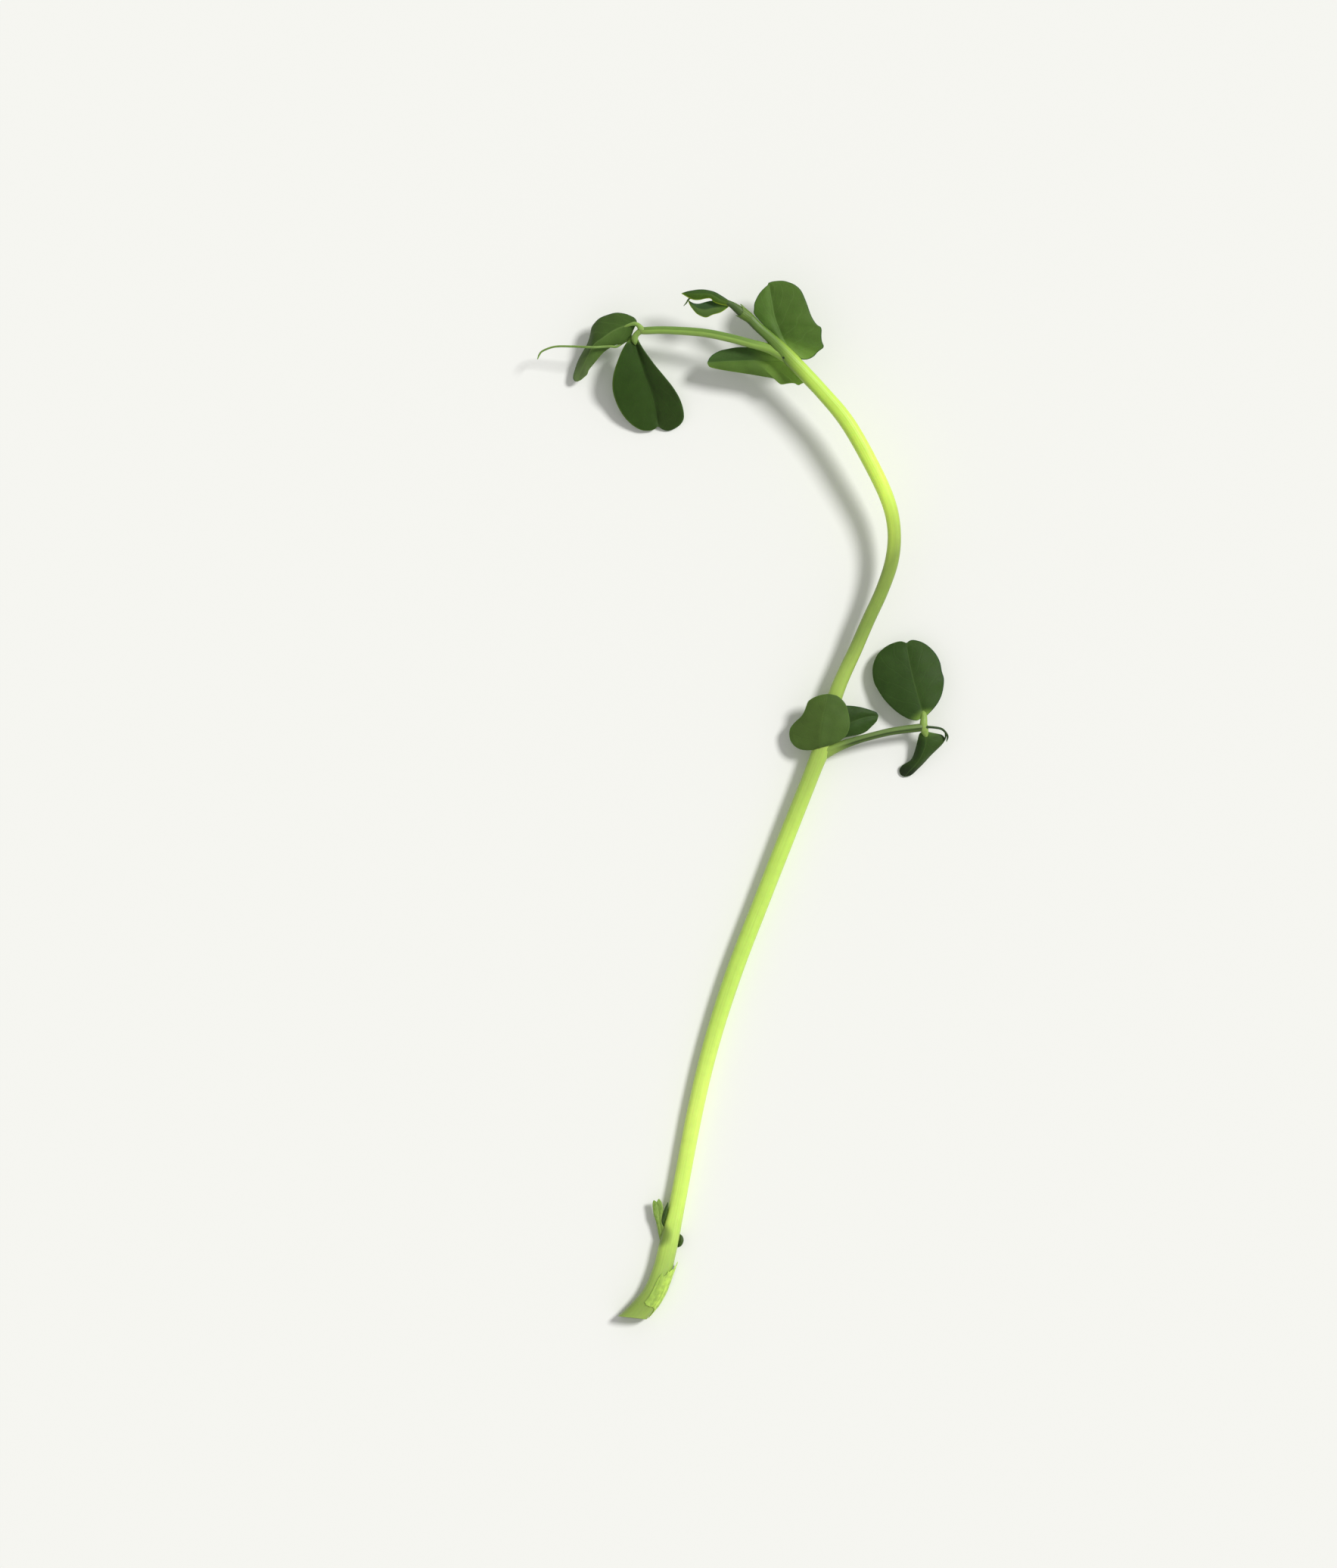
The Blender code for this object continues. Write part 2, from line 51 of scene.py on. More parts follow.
# The points of a line give x, y and z, and those of a tube give its radius too.
STEM_LINE = (
    (-17.8, -76.9, 1.40, 1.78),
    (-15.2, -74.3, 1.34, 1.66),
    (-13.0, -71.55, 1.30, 1.58),
    (-11.6, -67.85, 1.24, 1.42),
    (-10.6, -63.6, 1.24, 1.38),
    (-9.3, -57.5, 1.20, 1.20),
    (-6.75, -44.3, 1.28, 1.20),
    (-4.3, -34.4, 1.38, 1.22),
    (-1.1, -24.5, 1.55, 1.25),
    (2.7, -14.65, 1.75, 1.23),
    (6.6, -4.7, 2.00, 1.24),
    (10.2, 4.4, 2.35, 1.22),
    (11.6, 8.2, 2.55, 1.34),
    (13.5, 15.5, 2.90, 1.12),
    (16.4, 22.1, 3.40, 1.02),
    (18.1, 26.0, 3.85, 1.00),
    (20.1, 30.4, 4.40, 1.00),
    (21.5, 34.7, 5.00, 1.03),
    (21.8, 38.8, 5.50, 1.00),
    (21.0, 42.9, 5.95, 1.06),
    (18.8, 47.8, 6.45, 1.12),
    (15.1, 54.3, 6.90, 1.14),
    (11.3, 58.9, 7.10, 1.08),
    (6.6, 63.8, 7.30, 1.10),
    (4.0, 66.5, 7.45, 0.80),
    (2.2, 68.1, 7.60, 0.72),
    (0.9, 69.4, 7.75, 0.74),
    (-0.3, 70.3, 7.90, 0.72),
    (-1.2, 71.0, 8.05, 0.58),
    (-2.0, 71.5, 8.20, 0.43),
    (-2.8, 71.8, 8.35, 0.34),
    (-3.7, 72.1, 8.50, 0.16),
)
CUT_POINT = (-16.2, -75.25, 0.0)
CUT_DIRECTION = (-0.11, -0.98, 0.12)
RING_STEP = 0.55
FEWEST_RINGS = 6
STEM_SIDES = 80
CURVE_STEPS = 12
SKIN_SHARE = 0.82
PITH_SHARE = 0.58
FLESH_STEP = 0.05
PITH_DEPTH = 0.2
RIDGES = 4
RIDGE_DEPTH = 0.04
RIBS = 20
RIB_DEPTH = 0.006


def tint(red, green, blue):
    """A screen colour from 0 to 255 as the linear colour that a shader takes."""
    return (*(((c / 255 + 0.055) / 1.055) ** 2.4 for c in (red, green, blue)), 1.0)


def smooth_line(points, count):
    """Samples at even distances along a smooth curve; values after x, y and z are carried along."""
    first = [2 * a - b for a, b in zip(points[0], points[1])]
    last = [2 * a - b for a, b in zip(points[-1], points[-2])]
    padded = [first, *points, last]
    dense = []
    for i in range(1, len(padded) - 2):
        for step in range(CURVE_STEPS):
            t = step / CURVE_STEPS
            dense.append(
                [
                    b + 0.5 * t * (c - a + t * (2 * a - 5 * b + 4 * c - d + t * (3 * (b - c) + d - a)))
                    for a, b, c, d in zip(*padded[i - 1 : i + 3])
                ]
            )
    dense.append(list(points[-1]))
    travelled = [0.0]
    for a, b in zip(dense, dense[1:]):
        travelled.append(travelled[-1] + math.dist(a[:3], b[:3]))
    samples = []
    k = 0
    for n in range(count):
        goal = travelled[-1] * n / (count - 1)
        while k < len(dense) - 2 and travelled[k + 1] < goal:
            k += 1
        share = (goal - travelled[k]) / (travelled[k + 1] - travelled[k])
        samples.append([a + share * (b - a) for a, b in zip(dense[k], dense[k + 1])])
    return samples


def rings_along(line, spacing):
    """One matrix for each ring of a tube: it turns a unit circle to face along the line."""
    length = sum(math.dist(a[:3], b[:3]) for a, b in zip(line, line[1:]))
    samples = smooth_line(line, max(FEWEST_RINGS, round(length / spacing)))
    centres = [Vector(s[:3]) for s in samples]
    rings = []
    for i, sample in enumerate(samples):
        ahead = (centres[min(i + 1, len(centres) - 1)] - centres[max(i - 1, 0)]).normalized()
        across = ahead.cross(Vector((0, 0, 1))).normalized()
        above = across.cross(ahead)
        turned = Matrix((across, above, ahead)).transposed() * sample[3]
        rings.append(Matrix.Translation(centres[i]) @ turned.to_4x4())
    return rings


def draw_tube(bm, line, spacing, sides, profile, skin=0):
    """Extrudes a ring of points along a line of x, y, z and radius, and closes both ends.

    Each point's place holds the cosine and sine of its turn round the tube, and how far along it is.
    """
    place = bm.verts.layers.float_vector.get("place") or bm.verts.layers.float_vector.new("place")
    rings = rings_along(line, spacing)
    faces_before = set(bm.faces)
    loop = bmesh.ops.create_circle(bm, segments=sides, radius=1)["verts"]
    for vert in loop:
        turn = math.atan2(vert.co.y, vert.co.x)
        vert[place] = (math.cos(turn), math.sin(turn), 0.0)
        vert.co *= profile(turn)
    bmesh.ops.transform(bm, matrix=rings[0], verts=loop)
    edges = list({edge for vert in loop for edge in vert.link_edges})
    bmesh.ops.contextual_create(bm, geom=edges)
    for number, (before, after) in enumerate(zip(rings, rings[1:]), 1):
        grown = bmesh.ops.extrude_edge_only(bm, edges=edges)["geom"]
        loop = [part for part in grown if isinstance(part, bmesh.types.BMVert)]
        edges = [part for part in grown if isinstance(part, bmesh.types.BMEdge) and part.is_boundary]
        for vert in loop:
            vert[place] = (*vert[place][:2], number / (len(rings) - 1))
        bmesh.ops.transform(bm, matrix=after @ before.inverted(), verts=loop)
    bmesh.ops.contextual_create(bm, geom=edges)
    for face in set(bm.faces) - faces_before:
        face.material_index = skin
    bmesh.ops.recalc_face_normals(bm, faces=bm.faces)


def show(thing):
    """Adds an object to the scene."""
    bpy.context.scene.collection.objects.link(thing)


def make_piece(name, bm, *skins):
    """A piece at the origin, in metres, from a mesh drawn in millimetres."""
    bmesh.ops.scale(bm, vec=(MM, MM, MM), verts=bm.verts)
    mesh = bpy.data.meshes.new(name)
    bm.to_mesh(mesh)
    bm.free()
    for skin in skins:
        mesh.materials.append(skin)
    mesh.shade_smooth()
    piece = bpy.data.objects.new(name, mesh)
    show(piece)
    return piece


def stand_for(piece, node):
    """Fixes a piece to the plant in place of its plain solid."""
    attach(piece, "root")
    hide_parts(node)


def put(tree, kind, feeds=None, **settings):
    """Adds a shader node with these settings and feeds its inputs with values or sockets."""
    node = tree.nodes.new("ShaderNode" + kind)
    for setting, value in settings.items():
        setattr(node, setting, value)
    for label, feed in (feeds or {}).items():
        if isinstance(feed, bpy.types.NodeSocket):
            tree.links.new(feed, node.inputs[label])
        else:
            node.inputs[label].default_value = feed
    return node


def use(tree, group, **feeds):
    """The outputs of a node group that takes these values or sockets."""
    return put(tree, "Group", feeds, node_tree=group).outputs


def reckon(tree, operation, *values):
    """The result of one sum on numbers or sockets."""
    return put(tree, "Math", dict(enumerate(values)), operation=operation).outputs[0]


def ease(tree, value, low, high, start=0.0, end=1.0):
    """Goes smoothly from start to end as the value goes from low to high."""
    feeds = {"Value": value, "From Min": low, "From Max": high, "To Min": start, "To Max": end}
    return put(tree, "MapRange", feeds, interpolation_type="SMOOTHSTEP").outputs[0]


def blend(tree, share, under, over):
    """The colour under, passing into the colour over by the share."""
    return put(tree, "Mix", {0: share, 6: under, 7: over}, data_type="RGBA").outputs[2]


def shade(tree, colour, value, saturation=1.0):
    """The colour made lighter or darker by a value that is 1 where it stays as it is."""
    feeds = {"Color": colour, "Value": value, "Saturation": saturation}
    return put(tree, "HueSaturation", feeds).outputs[0]


def millimetres(tree):
    """Object coordinates, in millimetres."""
    spot = put(tree, "TexCoord").outputs["Object"]
    return put(tree, "VectorMath", {0: spot, 3: 1 / MM}, operation="SCALE").outputs[0]


def own_place(tree):
    """The place that the mesh keeps at each of its points."""
    return put(tree, "Attribute", attribute_name="place").outputs["Vector"]


def start_group(name, takes, gives):
    """A new node group with these sockets, and its own input and output nodes."""
    group = bpy.data.node_groups.new(name, "ShaderNodeTree")
    for label, kind in takes.items():
        group.interface.new_socket(label, in_out="INPUT", socket_type="NodeSocket" + kind)
    for label in gives:
        group.interface.new_socket(label, in_out="OUTPUT", socket_type="NodeSocketFloat")
    taken = group.nodes.new("NodeGroupInput").outputs
    given = group.nodes.new("NodeGroupOutput").inputs
    return group, taken, given


def start_skin(name, specular, soft):
    """A plant-skin material with its plain values set: its node tree and its shader."""
    skin = bpy.data.materials.new(name)
    skin.use_nodes = True
    shader = skin.node_tree.nodes["Principled BSDF"]
    shader.inputs["Specular IOR Level"].default_value = specular
    shader.inputs["Subsurface Weight"].default_value = soft
    shader.inputs["Subsurface Radius"].default_value = (0.5, 1.0, 0.2)
    shader.inputs["Subsurface Scale"].default_value = MM
    return skin, skin.node_tree, shader


RELIEF_HEIGHT = 0.1


def dress(tree, shader, colour, roughness, height, strength):
    """Feeds the finished colour, roughness and relief into the shader."""
    feeds = {"Height": height, "Strength": strength, "Distance": RELIEF_HEIGHT * MM}
    relief = put(tree, "Bump", feeds)
    tree.links.new(colour, shader.inputs["Base Color"])
    tree.links.new(roughness, shader.inputs["Roughness"])
    tree.links.new(relief.outputs[0], shader.inputs["Normal"])


# Soft light and dark patches and a fine cell grain, as in any living green skin.
MOTTLE, taken, given = start_group(
    "living mottle", {"Spot": "Vector", "Size": "Float"}, ("Patches", "Grain")
)
patches = put(MOTTLE, "TexNoise", {"Vector": taken["Spot"], "Scale": taken["Size"], "Detail": 4.0})
grain = put(MOTTLE, "TexNoise", {"Vector": taken["Spot"], "Scale": 7.0, "Detail": 3.0})
MOTTLE.links.new(patches.outputs[0], given["Patches"])
MOTTLE.links.new(grain.outputs[0], given["Grain"])

# Long streaks that run with a stem or stalk, and the four ridges along it.
STREAKS, taken, given = start_group(
    "long streaks", {"Place": "Vector", "Fineness": "Float"}, ("Streaks", "Ridges", "Along", "Top")
)
drawn_out = put(STREAKS, "VectorMath", {0: taken["Place"], 1: (1.0, 1.0, 2.5)}, operation="MULTIPLY")
feeds = {"Vector": drawn_out.outputs[0], "Scale": taken["Fineness"], "Detail": 3.0}
lines = put(STREAKS, "TexNoise", feeds)
parts = put(STREAKS, "SeparateXYZ", {"Vector": taken["Place"]}).outputs
squared = reckon(STREAKS, "MULTIPLY", parts[0], parts[0])
fourth = reckon(STREAKS, "MULTIPLY", squared, squared)
four_fold = reckon(STREAKS, "MULTIPLY", reckon(STREAKS, "SUBTRACT", fourth, squared), -4.0)
STREAKS.links.new(lines.outputs[0], given["Streaks"])
STREAKS.links.new(four_fold, given["Ridges"])
STREAKS.links.new(parts[2], given["Along"])
STREAKS.links.new(parts[1], given["Top"])

# A small round spot, such as a scar, a speck or a patch of painted shade.
SPOT, taken, given = start_group(
    "small spot", {"Spot": "Vector", "Centre": "Vector", "Radius": "Float"}, ("Mask",)
)
apart = put(SPOT, "VectorMath", {0: taken["Spot"], 1: taken["Centre"]}, operation="DISTANCE")
inner = reckon(SPOT, "MULTIPLY", taken["Radius"], 0.5)
SPOT.links.new(ease(SPOT, apart.outputs[1], inner, taken["Radius"], 1.0, 0.0), given["Mask"])

# The stem's green changes along it: duller by the cut and above the middle leaf, and a bright
# lime where it is lit through.
STEM_COLOURS = (
    (0.000, 156, 180, 88),
    (0.034, 144, 170, 78),
    (0.062, 166, 196, 92),
    (0.120, 210, 242, 108),
    (0.210, 220, 246, 114),
    (0.310, 196, 230, 100),
    (0.450, 196, 229, 100),
    (0.510, 174, 203, 92),
    (0.615, 165, 191, 90),
    (0.650, 138, 164, 76),
    (0.715, 144, 168, 76),
    (0.778, 224, 255, 102),
    (0.895, 188, 223, 88),
    (0.932, 106, 138, 54),
    (0.965, 90, 118, 50),
    (0.985, 68, 92, 40),
)
TOP_NODE_SCAR = (5.71, 63.64, 8.3)
SCAR_RADIUS = 0.3
# The centre and reach of the painted shade in the axil of the forked scale leaf.
LOW_AXIL_SHADE = (-11.9, -63.0, 1.7)
AXIL_SHADE_RADIUS = 2.2


def stem_skin():
    """Pale lime skin over juicy flesh, with faint long streaks between four smooth ridges."""
    skin, tree, shader = start_skin("stem skin", specular=0.35, soft=0.25)
    place = own_place(tree)
    spot = millimetres(tree)
    run = use(tree, STREAKS, Place=place, Fineness=9.0)
    mottle = use(tree, MOTTLE, Spot=spot, Size=0.8)
    across = put(tree, "SeparateXYZ", {"Vector": place}).outputs[0]
    # The tip's darker green reaches further down on the left.
    ramp = put(tree, "ValToRGB", {"Fac": reckon(tree, "MULTIPLY_ADD", across, -0.014, run["Along"])})
    stops = ramp.color_ramp.elements
    for number, (where, *colour) in enumerate(STEM_COLOURS):
        stop = stops[number] if number < 2 else stops.new(where)
        stop.position = where
        stop.color = tint(*colour)
    # Streaks, ridges and patches lighten and darken it a little.
    value = reckon(tree, "MULTIPLY_ADD", run["Streaks"], 0.24, 0.88)
    value = reckon(tree, "MULTIPLY_ADD", run["Ridges"], 0.06, value)
    value = reckon(tree, "MULTIPLY_ADD", mottle["Patches"], 0.16, reckon(tree, "SUBTRACT", value, 0.08))
    # Painted shade: the left flank, turned from the light, is darker, most of all by the foot, and the
    # lit right edge is painted a little darker too.
    painted_left_shade = ease(tree, across, -0.95, -0.05, 1.0, 0.0)
    left_shade_by_foot = ease(tree, run["Along"], 0.09, 0.15, 0.2, 0.1)
    value = reckon(tree, "SUBTRACT", value, reckon(tree, "MULTIPLY", painted_left_shade, left_shade_by_foot))
    value = reckon(tree, "SUBTRACT", value, ease(tree, across, 0.35, 1.0, 0.0, 0.1))
    colour = shade(tree, ramp.outputs[0], value)
    # The dark scar at the top node, and painted shade in the axil of the forked scale leaf, where it
    # meets the stem.
    scar = use(tree, SPOT, Spot=spot, Centre=TOP_NODE_SCAR, Radius=SCAR_RADIUS)[0]
    colour = blend(tree, scar, colour, tint(34, 52, 20))
    axil_shade = use(tree, SPOT, Spot=spot, Centre=LOW_AXIL_SHADE, Radius=AXIL_SHADE_RADIUS)[0]
    colour = blend(tree, reckon(tree, "MULTIPLY", axil_shade, 0.75), colour, tint(98, 124, 54))
    roughness = reckon(tree, "MULTIPLY_ADD", run["Streaks"], 0.25, 0.28)
    height = reckon(tree, "MULTIPLY_ADD", mottle["Grain"], 0.35, run["Streaks"])
    dress(tree, shader, colour, roughness, height, 0.22)
    return skin


def flesh_skin(name, colour):
    """Wet flesh at a knife cut."""
    skin, tree, shader = start_skin(name, specular=0.5, soft=0.3)
    mottle = use(tree, MOTTLE, Spot=millimetres(tree), Size=3.0)
    value = reckon(tree, "MULTIPLY_ADD", mottle["Patches"], 0.5, 0.72)
    roughness = reckon(tree, "MULTIPLY_ADD", mottle["Grain"], 0.3, 0.2)
    dress(tree, shader, shade(tree, colour, value), roughness, mottle["Grain"], 0.5)
    return skin


def step_in(bm, faces, share, sunk):
    """Steps a cut face in to a share of its size round its middle, and sinks it into the stem."""
    inner = bmesh.ops.extrude_discrete_faces(bm, faces=faces)["faces"]
    rim = list({vert for face in inner for vert in face.verts})
    middle = sum((vert.co for vert in rim), Vector()) / len(rim)
    bmesh.ops.scale(bm, vec=(share, share, share), space=Matrix.Translation(-middle), verts=rim)
    bmesh.ops.translate(bm, vec=-sunk * Vector(CUT_DIRECTION), verts=rim)
    return inner


def four_ridged(turn):
    """The stem's section: four soft ridges, with fine ribs between them."""
    return 1 - RIDGE_DEPTH * math.cos(RIDGES * turn) - RIB_DEPTH * math.cos(RIBS * turn)


stem_mesh = bmesh.new()
draw_tube(stem_mesh, STEM_LINE, RING_STEP, STEM_SIDES, four_ridged)
# Its own weight presses it flat where it lies on the table.
for vert in stem_mesh.verts:
    vert.co.z = max(vert.co.z, 0.0)
cut = bmesh.ops.bisect_plane(
    stem_mesh,
    geom=stem_mesh.verts[:] + stem_mesh.edges[:] + stem_mesh.faces[:],
    plane_co=CUT_POINT,
    plane_no=CUT_DIRECTION,
    clear_outer=True,
)
cut_edges = [part for part in cut["geom_cut"] if isinstance(part, bmesh.types.BMEdge)]
cut_face = bmesh.ops.contextual_create(stem_mesh, geom=cut_edges)["faces"]
for edge in cut_edges:
    edge.smooth = False
for face in cut_face:
    face.material_index = 1
flesh_face = step_in(stem_mesh, cut_face, SKIN_SHARE, FLESH_STEP)
pith_face = step_in(stem_mesh, flesh_face, PITH_SHARE, -FLESH_STEP)
for face in pith_face:
    face.material_index = 2
step_in(stem_mesh, pith_face, SKIN_SHARE, PITH_DEPTH)
bmesh.ops.recalc_face_normals(stem_mesh, faces=stem_mesh.faces)
stem = make_piece(
    "stem_grown",
    stem_mesh,
    stem_skin(),
    flesh_skin("cut flesh", tint(152, 178, 88)),
    flesh_skin("cut pith", tint(122, 148, 66)),
)
stand_for(stem, "stem")


# The two lowest leaves are only scales: thin, pale, clasping sheaths. The first, by the cut, is
# torn and wraps the right of the stem; the second is forked and stands off on the left.

# Where each strip of the torn sheath starts and ends along the stem, from its free right edge,
# over the two prongs, to its left edge on top of the stem.
TORN_FEET = (4.6, 4.3, 4.1, 4.2, 4.8, 5.3, 5.6, 5.7, 5.6, 5.45, 5.35, 5.35, 5.5)
TORN_ENDS = (12.1, 12.4, 12.5, 12.2, 11.9, 11.6, 11.4, 11.2, 10.7, 10.1, 10.5, 10.2, 8.7)
TORN_TURNS = (-25, 103)
STEM_SAMPLES = 1600
SHEATH_COLUMNS = 60
SHEATH_ROWS = 40
END_TEETH = 13
FOOT_TEETH = 9
FOOT_TEAR = 0.3
GAP_WAVE = 0.6
STREAK_RUN = 60
SHEATH_LOWEST = 0.2
ROUNDING_LEVELS = 1


def streaked_skin(name, pale, deep, fineness=5.0, patchy=0.4, flank=None):
    """The streaked skin of a sheath, bud, joint or tendril. One flank may have its own tint."""
    skin, tree, shader = start_skin(name, specular=0.3, soft=0.2)
    place = own_place(tree)
    run = use(tree, STREAKS, Place=place, Fineness=fineness)
    mottle = use(tree, MOTTLE, Spot=millimetres(tree), Size=1.6)
    patches = reckon(tree, "SUBTRACT", mottle["Patches"], 0.5)
    share = reckon(tree, "MULTIPLY_ADD", patches, patchy, run["Streaks"])
    if flank:
        across = put(tree, "SeparateXYZ", {"Vector": place}).outputs[0]
        by_flank = reckon(tree, "MULTIPLY_ADD", patches, -patchy, across)
        pale = blend(tree, ease(tree, by_flank, -0.2, 0.9), pale, flank)
    colour = blend(tree, ease(tree, share, 0.3, 0.75), pale, deep)
    roughness = reckon(tree, "MULTIPLY_ADD", mottle["Patches"], 0.3, 0.32)
    height = reckon(tree, "MULTIPLY_ADD", mottle["Grain"], 0.4, run["Streaks"])
    dress(tree, shader, colour, roughness, height, 0.4)
    return skin


def give_thickness(piece, thickness):
    """Gives a sheet its thickness below its upper face, and rounds it."""
    solid = piece.modifiers.new("thickness", "SOLIDIFY")
    solid.thickness = thickness * MM
    solid.offset = -1
    solid.use_quality_normals = True
    solid.material_offset = len(piece.data.materials) - 1
    rounding = piece.modifiers.new("rounding", "SUBSURF")
    rounding.levels = ROUNDING_LEVELS
    rounding.render_levels = ROUNDING_LEVELS


def between(values, share):
    """The value at this share of the way through a row of values."""
    place = share * (len(values) - 1)
    low = min(int(place), len(values) - 2)
    return values[low] + (place - low) * (values[low + 1] - values[low])


def wrap_sheath(bm, feet, ends, turns, gaps, off_start, off_end, tear, hug=1.5):
    """Wraps a sheath round the stem.

    It spans the turns, in degrees, and each of its strips has its own foot and end along the
    stem. The gap to the stem goes from the first value to the second. Both long edges stand off
    at their ends, over less of the sheath the closer it hugs the stem.
    """
    place = bm.verts.layers.float_vector.new("place")
    bmesh.ops.create_grid(bm, x_segments=SHEATH_COLUMNS, y_segments=SHEATH_ROWS, size=1)
    rings = smooth_line(STEM_LINE, STEM_SAMPLES)
    step = math.dist(rings[0][:3], rings[1][:3])
    for vert in bm.verts:
        side, along = (vert.co.x + 1) / 2, (vert.co.y + 1) / 2
        start_tear = FOOT_TEAR * tear * noise.noise(Vector((side * FOOT_TEETH, 3.0, 0.0)))
        start = between(feet, side) + start_tear
        end = between(ends, side) + tear * noise.noise(Vector((side * END_TEETH, 8.0, 0.0)))
        travelled = start + along * (end - start)
        here = round(travelled / step)
        centre = Vector(rings[here][:3])
        ahead = (Vector(rings[here + 1][:3]) - centre).normalized()
        across = ahead.cross(Vector((0, 0, 1))).normalized()
        above = across.cross(ahead)
        turn = math.radians(turns[0] + side * (turns[1] - turns[0]))
        gap = gaps[0] + along * (gaps[1] - gaps[0])
        reach_out = rings[here][3] * four_ridged(turn) + gap
        reach_out += along**2 * (off_start * (1 - side) ** hug + off_end * side**hug)
        wave = noise.noise(Vector((side * 6, travelled * 0.9, 0.0)))
        reach_out += GAP_WAVE * abs(gaps[1]) * wave
        vert[place] = (math.cos(turn), math.sin(turn), travelled / STREAK_RUN)
        vert.co = centre + reach_out * (across * math.cos(turn) + above * math.sin(turn))
        vert.co.z = max(vert.co.z, SHEATH_LOWEST)
    bmesh.ops.recalc_face_normals(bm, faces=bm.faces)


torn_mesh = bmesh.new()
wrap_sheath(
    torn_mesh, TORN_FEET, TORN_ENDS, TORN_TURNS, (0.05, 0.08), off_start=0.5, off_end=-0.03, tear=0.4
)
torn_leaf = make_piece(
    "torn_scale_leaf_grown",
    torn_mesh,
    streaked_skin(
        "torn sheath", tint(172, 211, 88), tint(150, 187, 78), fineness=4.0, patchy=0.55,
        flank=tint(202, 243, 100),
    ),
)
give_thickness(torn_leaf, 0.08)
stand_for(torn_leaf, "torn_scale_leaf")


CREASE_REACH = 0.4
WAVES = 3
LEFT_PHASE = 1.1
SINK_REACH = 0.25
UNEVEN = 0.1
UNEVEN_FINENESS = 0.6
MERGE_WITHIN = 0.001


def lay_blade(node, root, left, rib, right, skins, rows=44, across=8, arch=0.25,
              crease=0.12, wave=0.1, sink=0.0, thickness=0.28):
    """A node's thin blade, between two margins and a midrib that run from its root to its tip.

    Its halves arch between midrib and margin, the midrib lies in a crease, the margins are
    waved, and the root end is sunk to meet what carries it. Each point's place holds how far it
    is out to the side, how far along, and the half's width there.
    """
    lefts, ribs, rights = (
        [Vector(sample) for sample in smooth_line(line, rows + 1)] for line in (left, rib, right)
    )
    bm = bmesh.new()
    place = bm.verts.layers.float_vector.new("place")
    bmesh.ops.create_grid(bm, x_segments=2 * across, y_segments=rows, size=1)
    for vert in bm.verts:
        side, along = vert.co.x, (vert.co.y + 1) / 2
        row = round(along * rows)
        margin = lefts[row] if side < 0 else rights[row]
        half = (margin - ribs[row]).length
        vert[place] = (side, along, half)
        point = ribs[row].lerp(margin, abs(side))
        swell = math.sin(math.pi * along)
        point.z += arch * math.sin(math.pi * abs(side)) * swell
        point.z -= crease * math.exp(-((abs(side) * half / CREASE_REACH) ** 2)) * min(1, 4 * swell)
        ripple = math.sin(2 * math.pi * WAVES * along + (LEFT_PHASE if side < 0 else 0.0))
        point.z += wave * abs(side) ** 3 * ripple * swell
        point.z -= sink * max(0.0, 1 - along / SINK_REACH) ** 2
        point += Vector(root)
        point.z += UNEVEN * noise.noise(point * UNEVEN_FINENESS) * swell
        vert.co = point
    bmesh.ops.remove_doubles(bm, verts=bm.verts, dist=MERGE_WITHIN)
    bmesh.ops.recalc_face_normals(bm, faces=bm.faces)
    if sum(face.normal.z * face.calc_area() for face in bm.faces) < 0:
        bmesh.ops.reverse_faces(bm, faces=bm.faces)
    piece = make_piece(node + "_grown", bm, *skins)
    give_thickness(piece, thickness)
    stand_for(piece, node)


BUD_STEP = 0.12
BUD_SIDES = 20
BUD_KEEL = 0.08


def grow_bud(name, line, skin):
    """A small three-keeled bud, or a stub like one, drawn out along its line."""
    bm = bmesh.new()
    draw_tube(bm, line, BUD_STEP, BUD_SIDES, lambda turn: 1 - BUD_KEEL * math.cos(3 * turn))
    return make_piece(name, bm, skin)


lay_blade(
    "scale_leaf", root=(-12.0, -63.2, 1.3),
    left=((0.1, -1.6, -0.2), (-0.1, -0.5, -0.1), (-0.3, 0.3, 0.0), (-0.45, 1.2, 0.1),
          (-0.65, 2.1, 0.2), (-0.95, 3.0, 0.3), (-1.1, 3.9, 0.3), (-1.15, 4.7, 0.4),
          (-0.95, 5.25, 0.5), (-0.65, 5.1, 0.5), (-0.5, 4.9, 0.5)),
    rib=((0.5, -1.4, 0.3), (0.3, 0.0, 0.4), (0.1, 1.2, 0.4), (-0.1, 2.3, 0.5), (-0.2, 3.5, 0.5),
         (-0.5, 4.9, 0.5)),
    right=((1.0, -1.4, 0.5), (0.9, -0.3, 0.6), (0.7, 0.6, 0.6), (0.5, 1.4, 0.5), (0.25, 2.0, 0.5),
           (0.3, 2.7, 0.5), (0.5, 3.4, 0.5), (0.5, 4.1, 0.6), (0.25, 4.9, 0.6), (-0.15, 5.45, 0.6),
           (-0.4, 5.15, 0.6), (-0.5, 4.9, 0.5)),
    skins=(streaked_skin("scale sheath", tint(150, 178, 86), tint(116, 144, 60)),),
    rows=36, across=6, arch=0.1, crease=0.05, wave=0.0, thickness=0.2,
)
bud_skin = streaked_skin("dark bud", tint(70, 96, 36), tint(42, 62, 22), fineness=4.0)
axil_bud = grow_bud(
    "axil_bud_grown",
    ((-11.6, -62.1, 1.5, 0.06), (-11.6, -61.2, 1.6, 0.32), (-11.35, -60.2, 1.75, 0.34),
     (-11.05, -59.2, 1.85, 0.26), (-10.85, -58.3, 1.9, 0.06)),
    bud_skin,
)
stand_for(axil_bud, "axil_bud")
opposite_bud = grow_bud(
    "opposite_bud_grown",
    ((-9.4, -64.9, 0.62, 0.08), (-9.15, -64.5, 0.66, 0.36), (-9.0, -63.9, 0.70, 0.46),
     (-9.05, -63.4, 0.72, 0.36), (-9.15, -63.0, 0.74, 0.08)),
    bud_skin,
)
stand_for(opposite_bud, "opposite_bud")


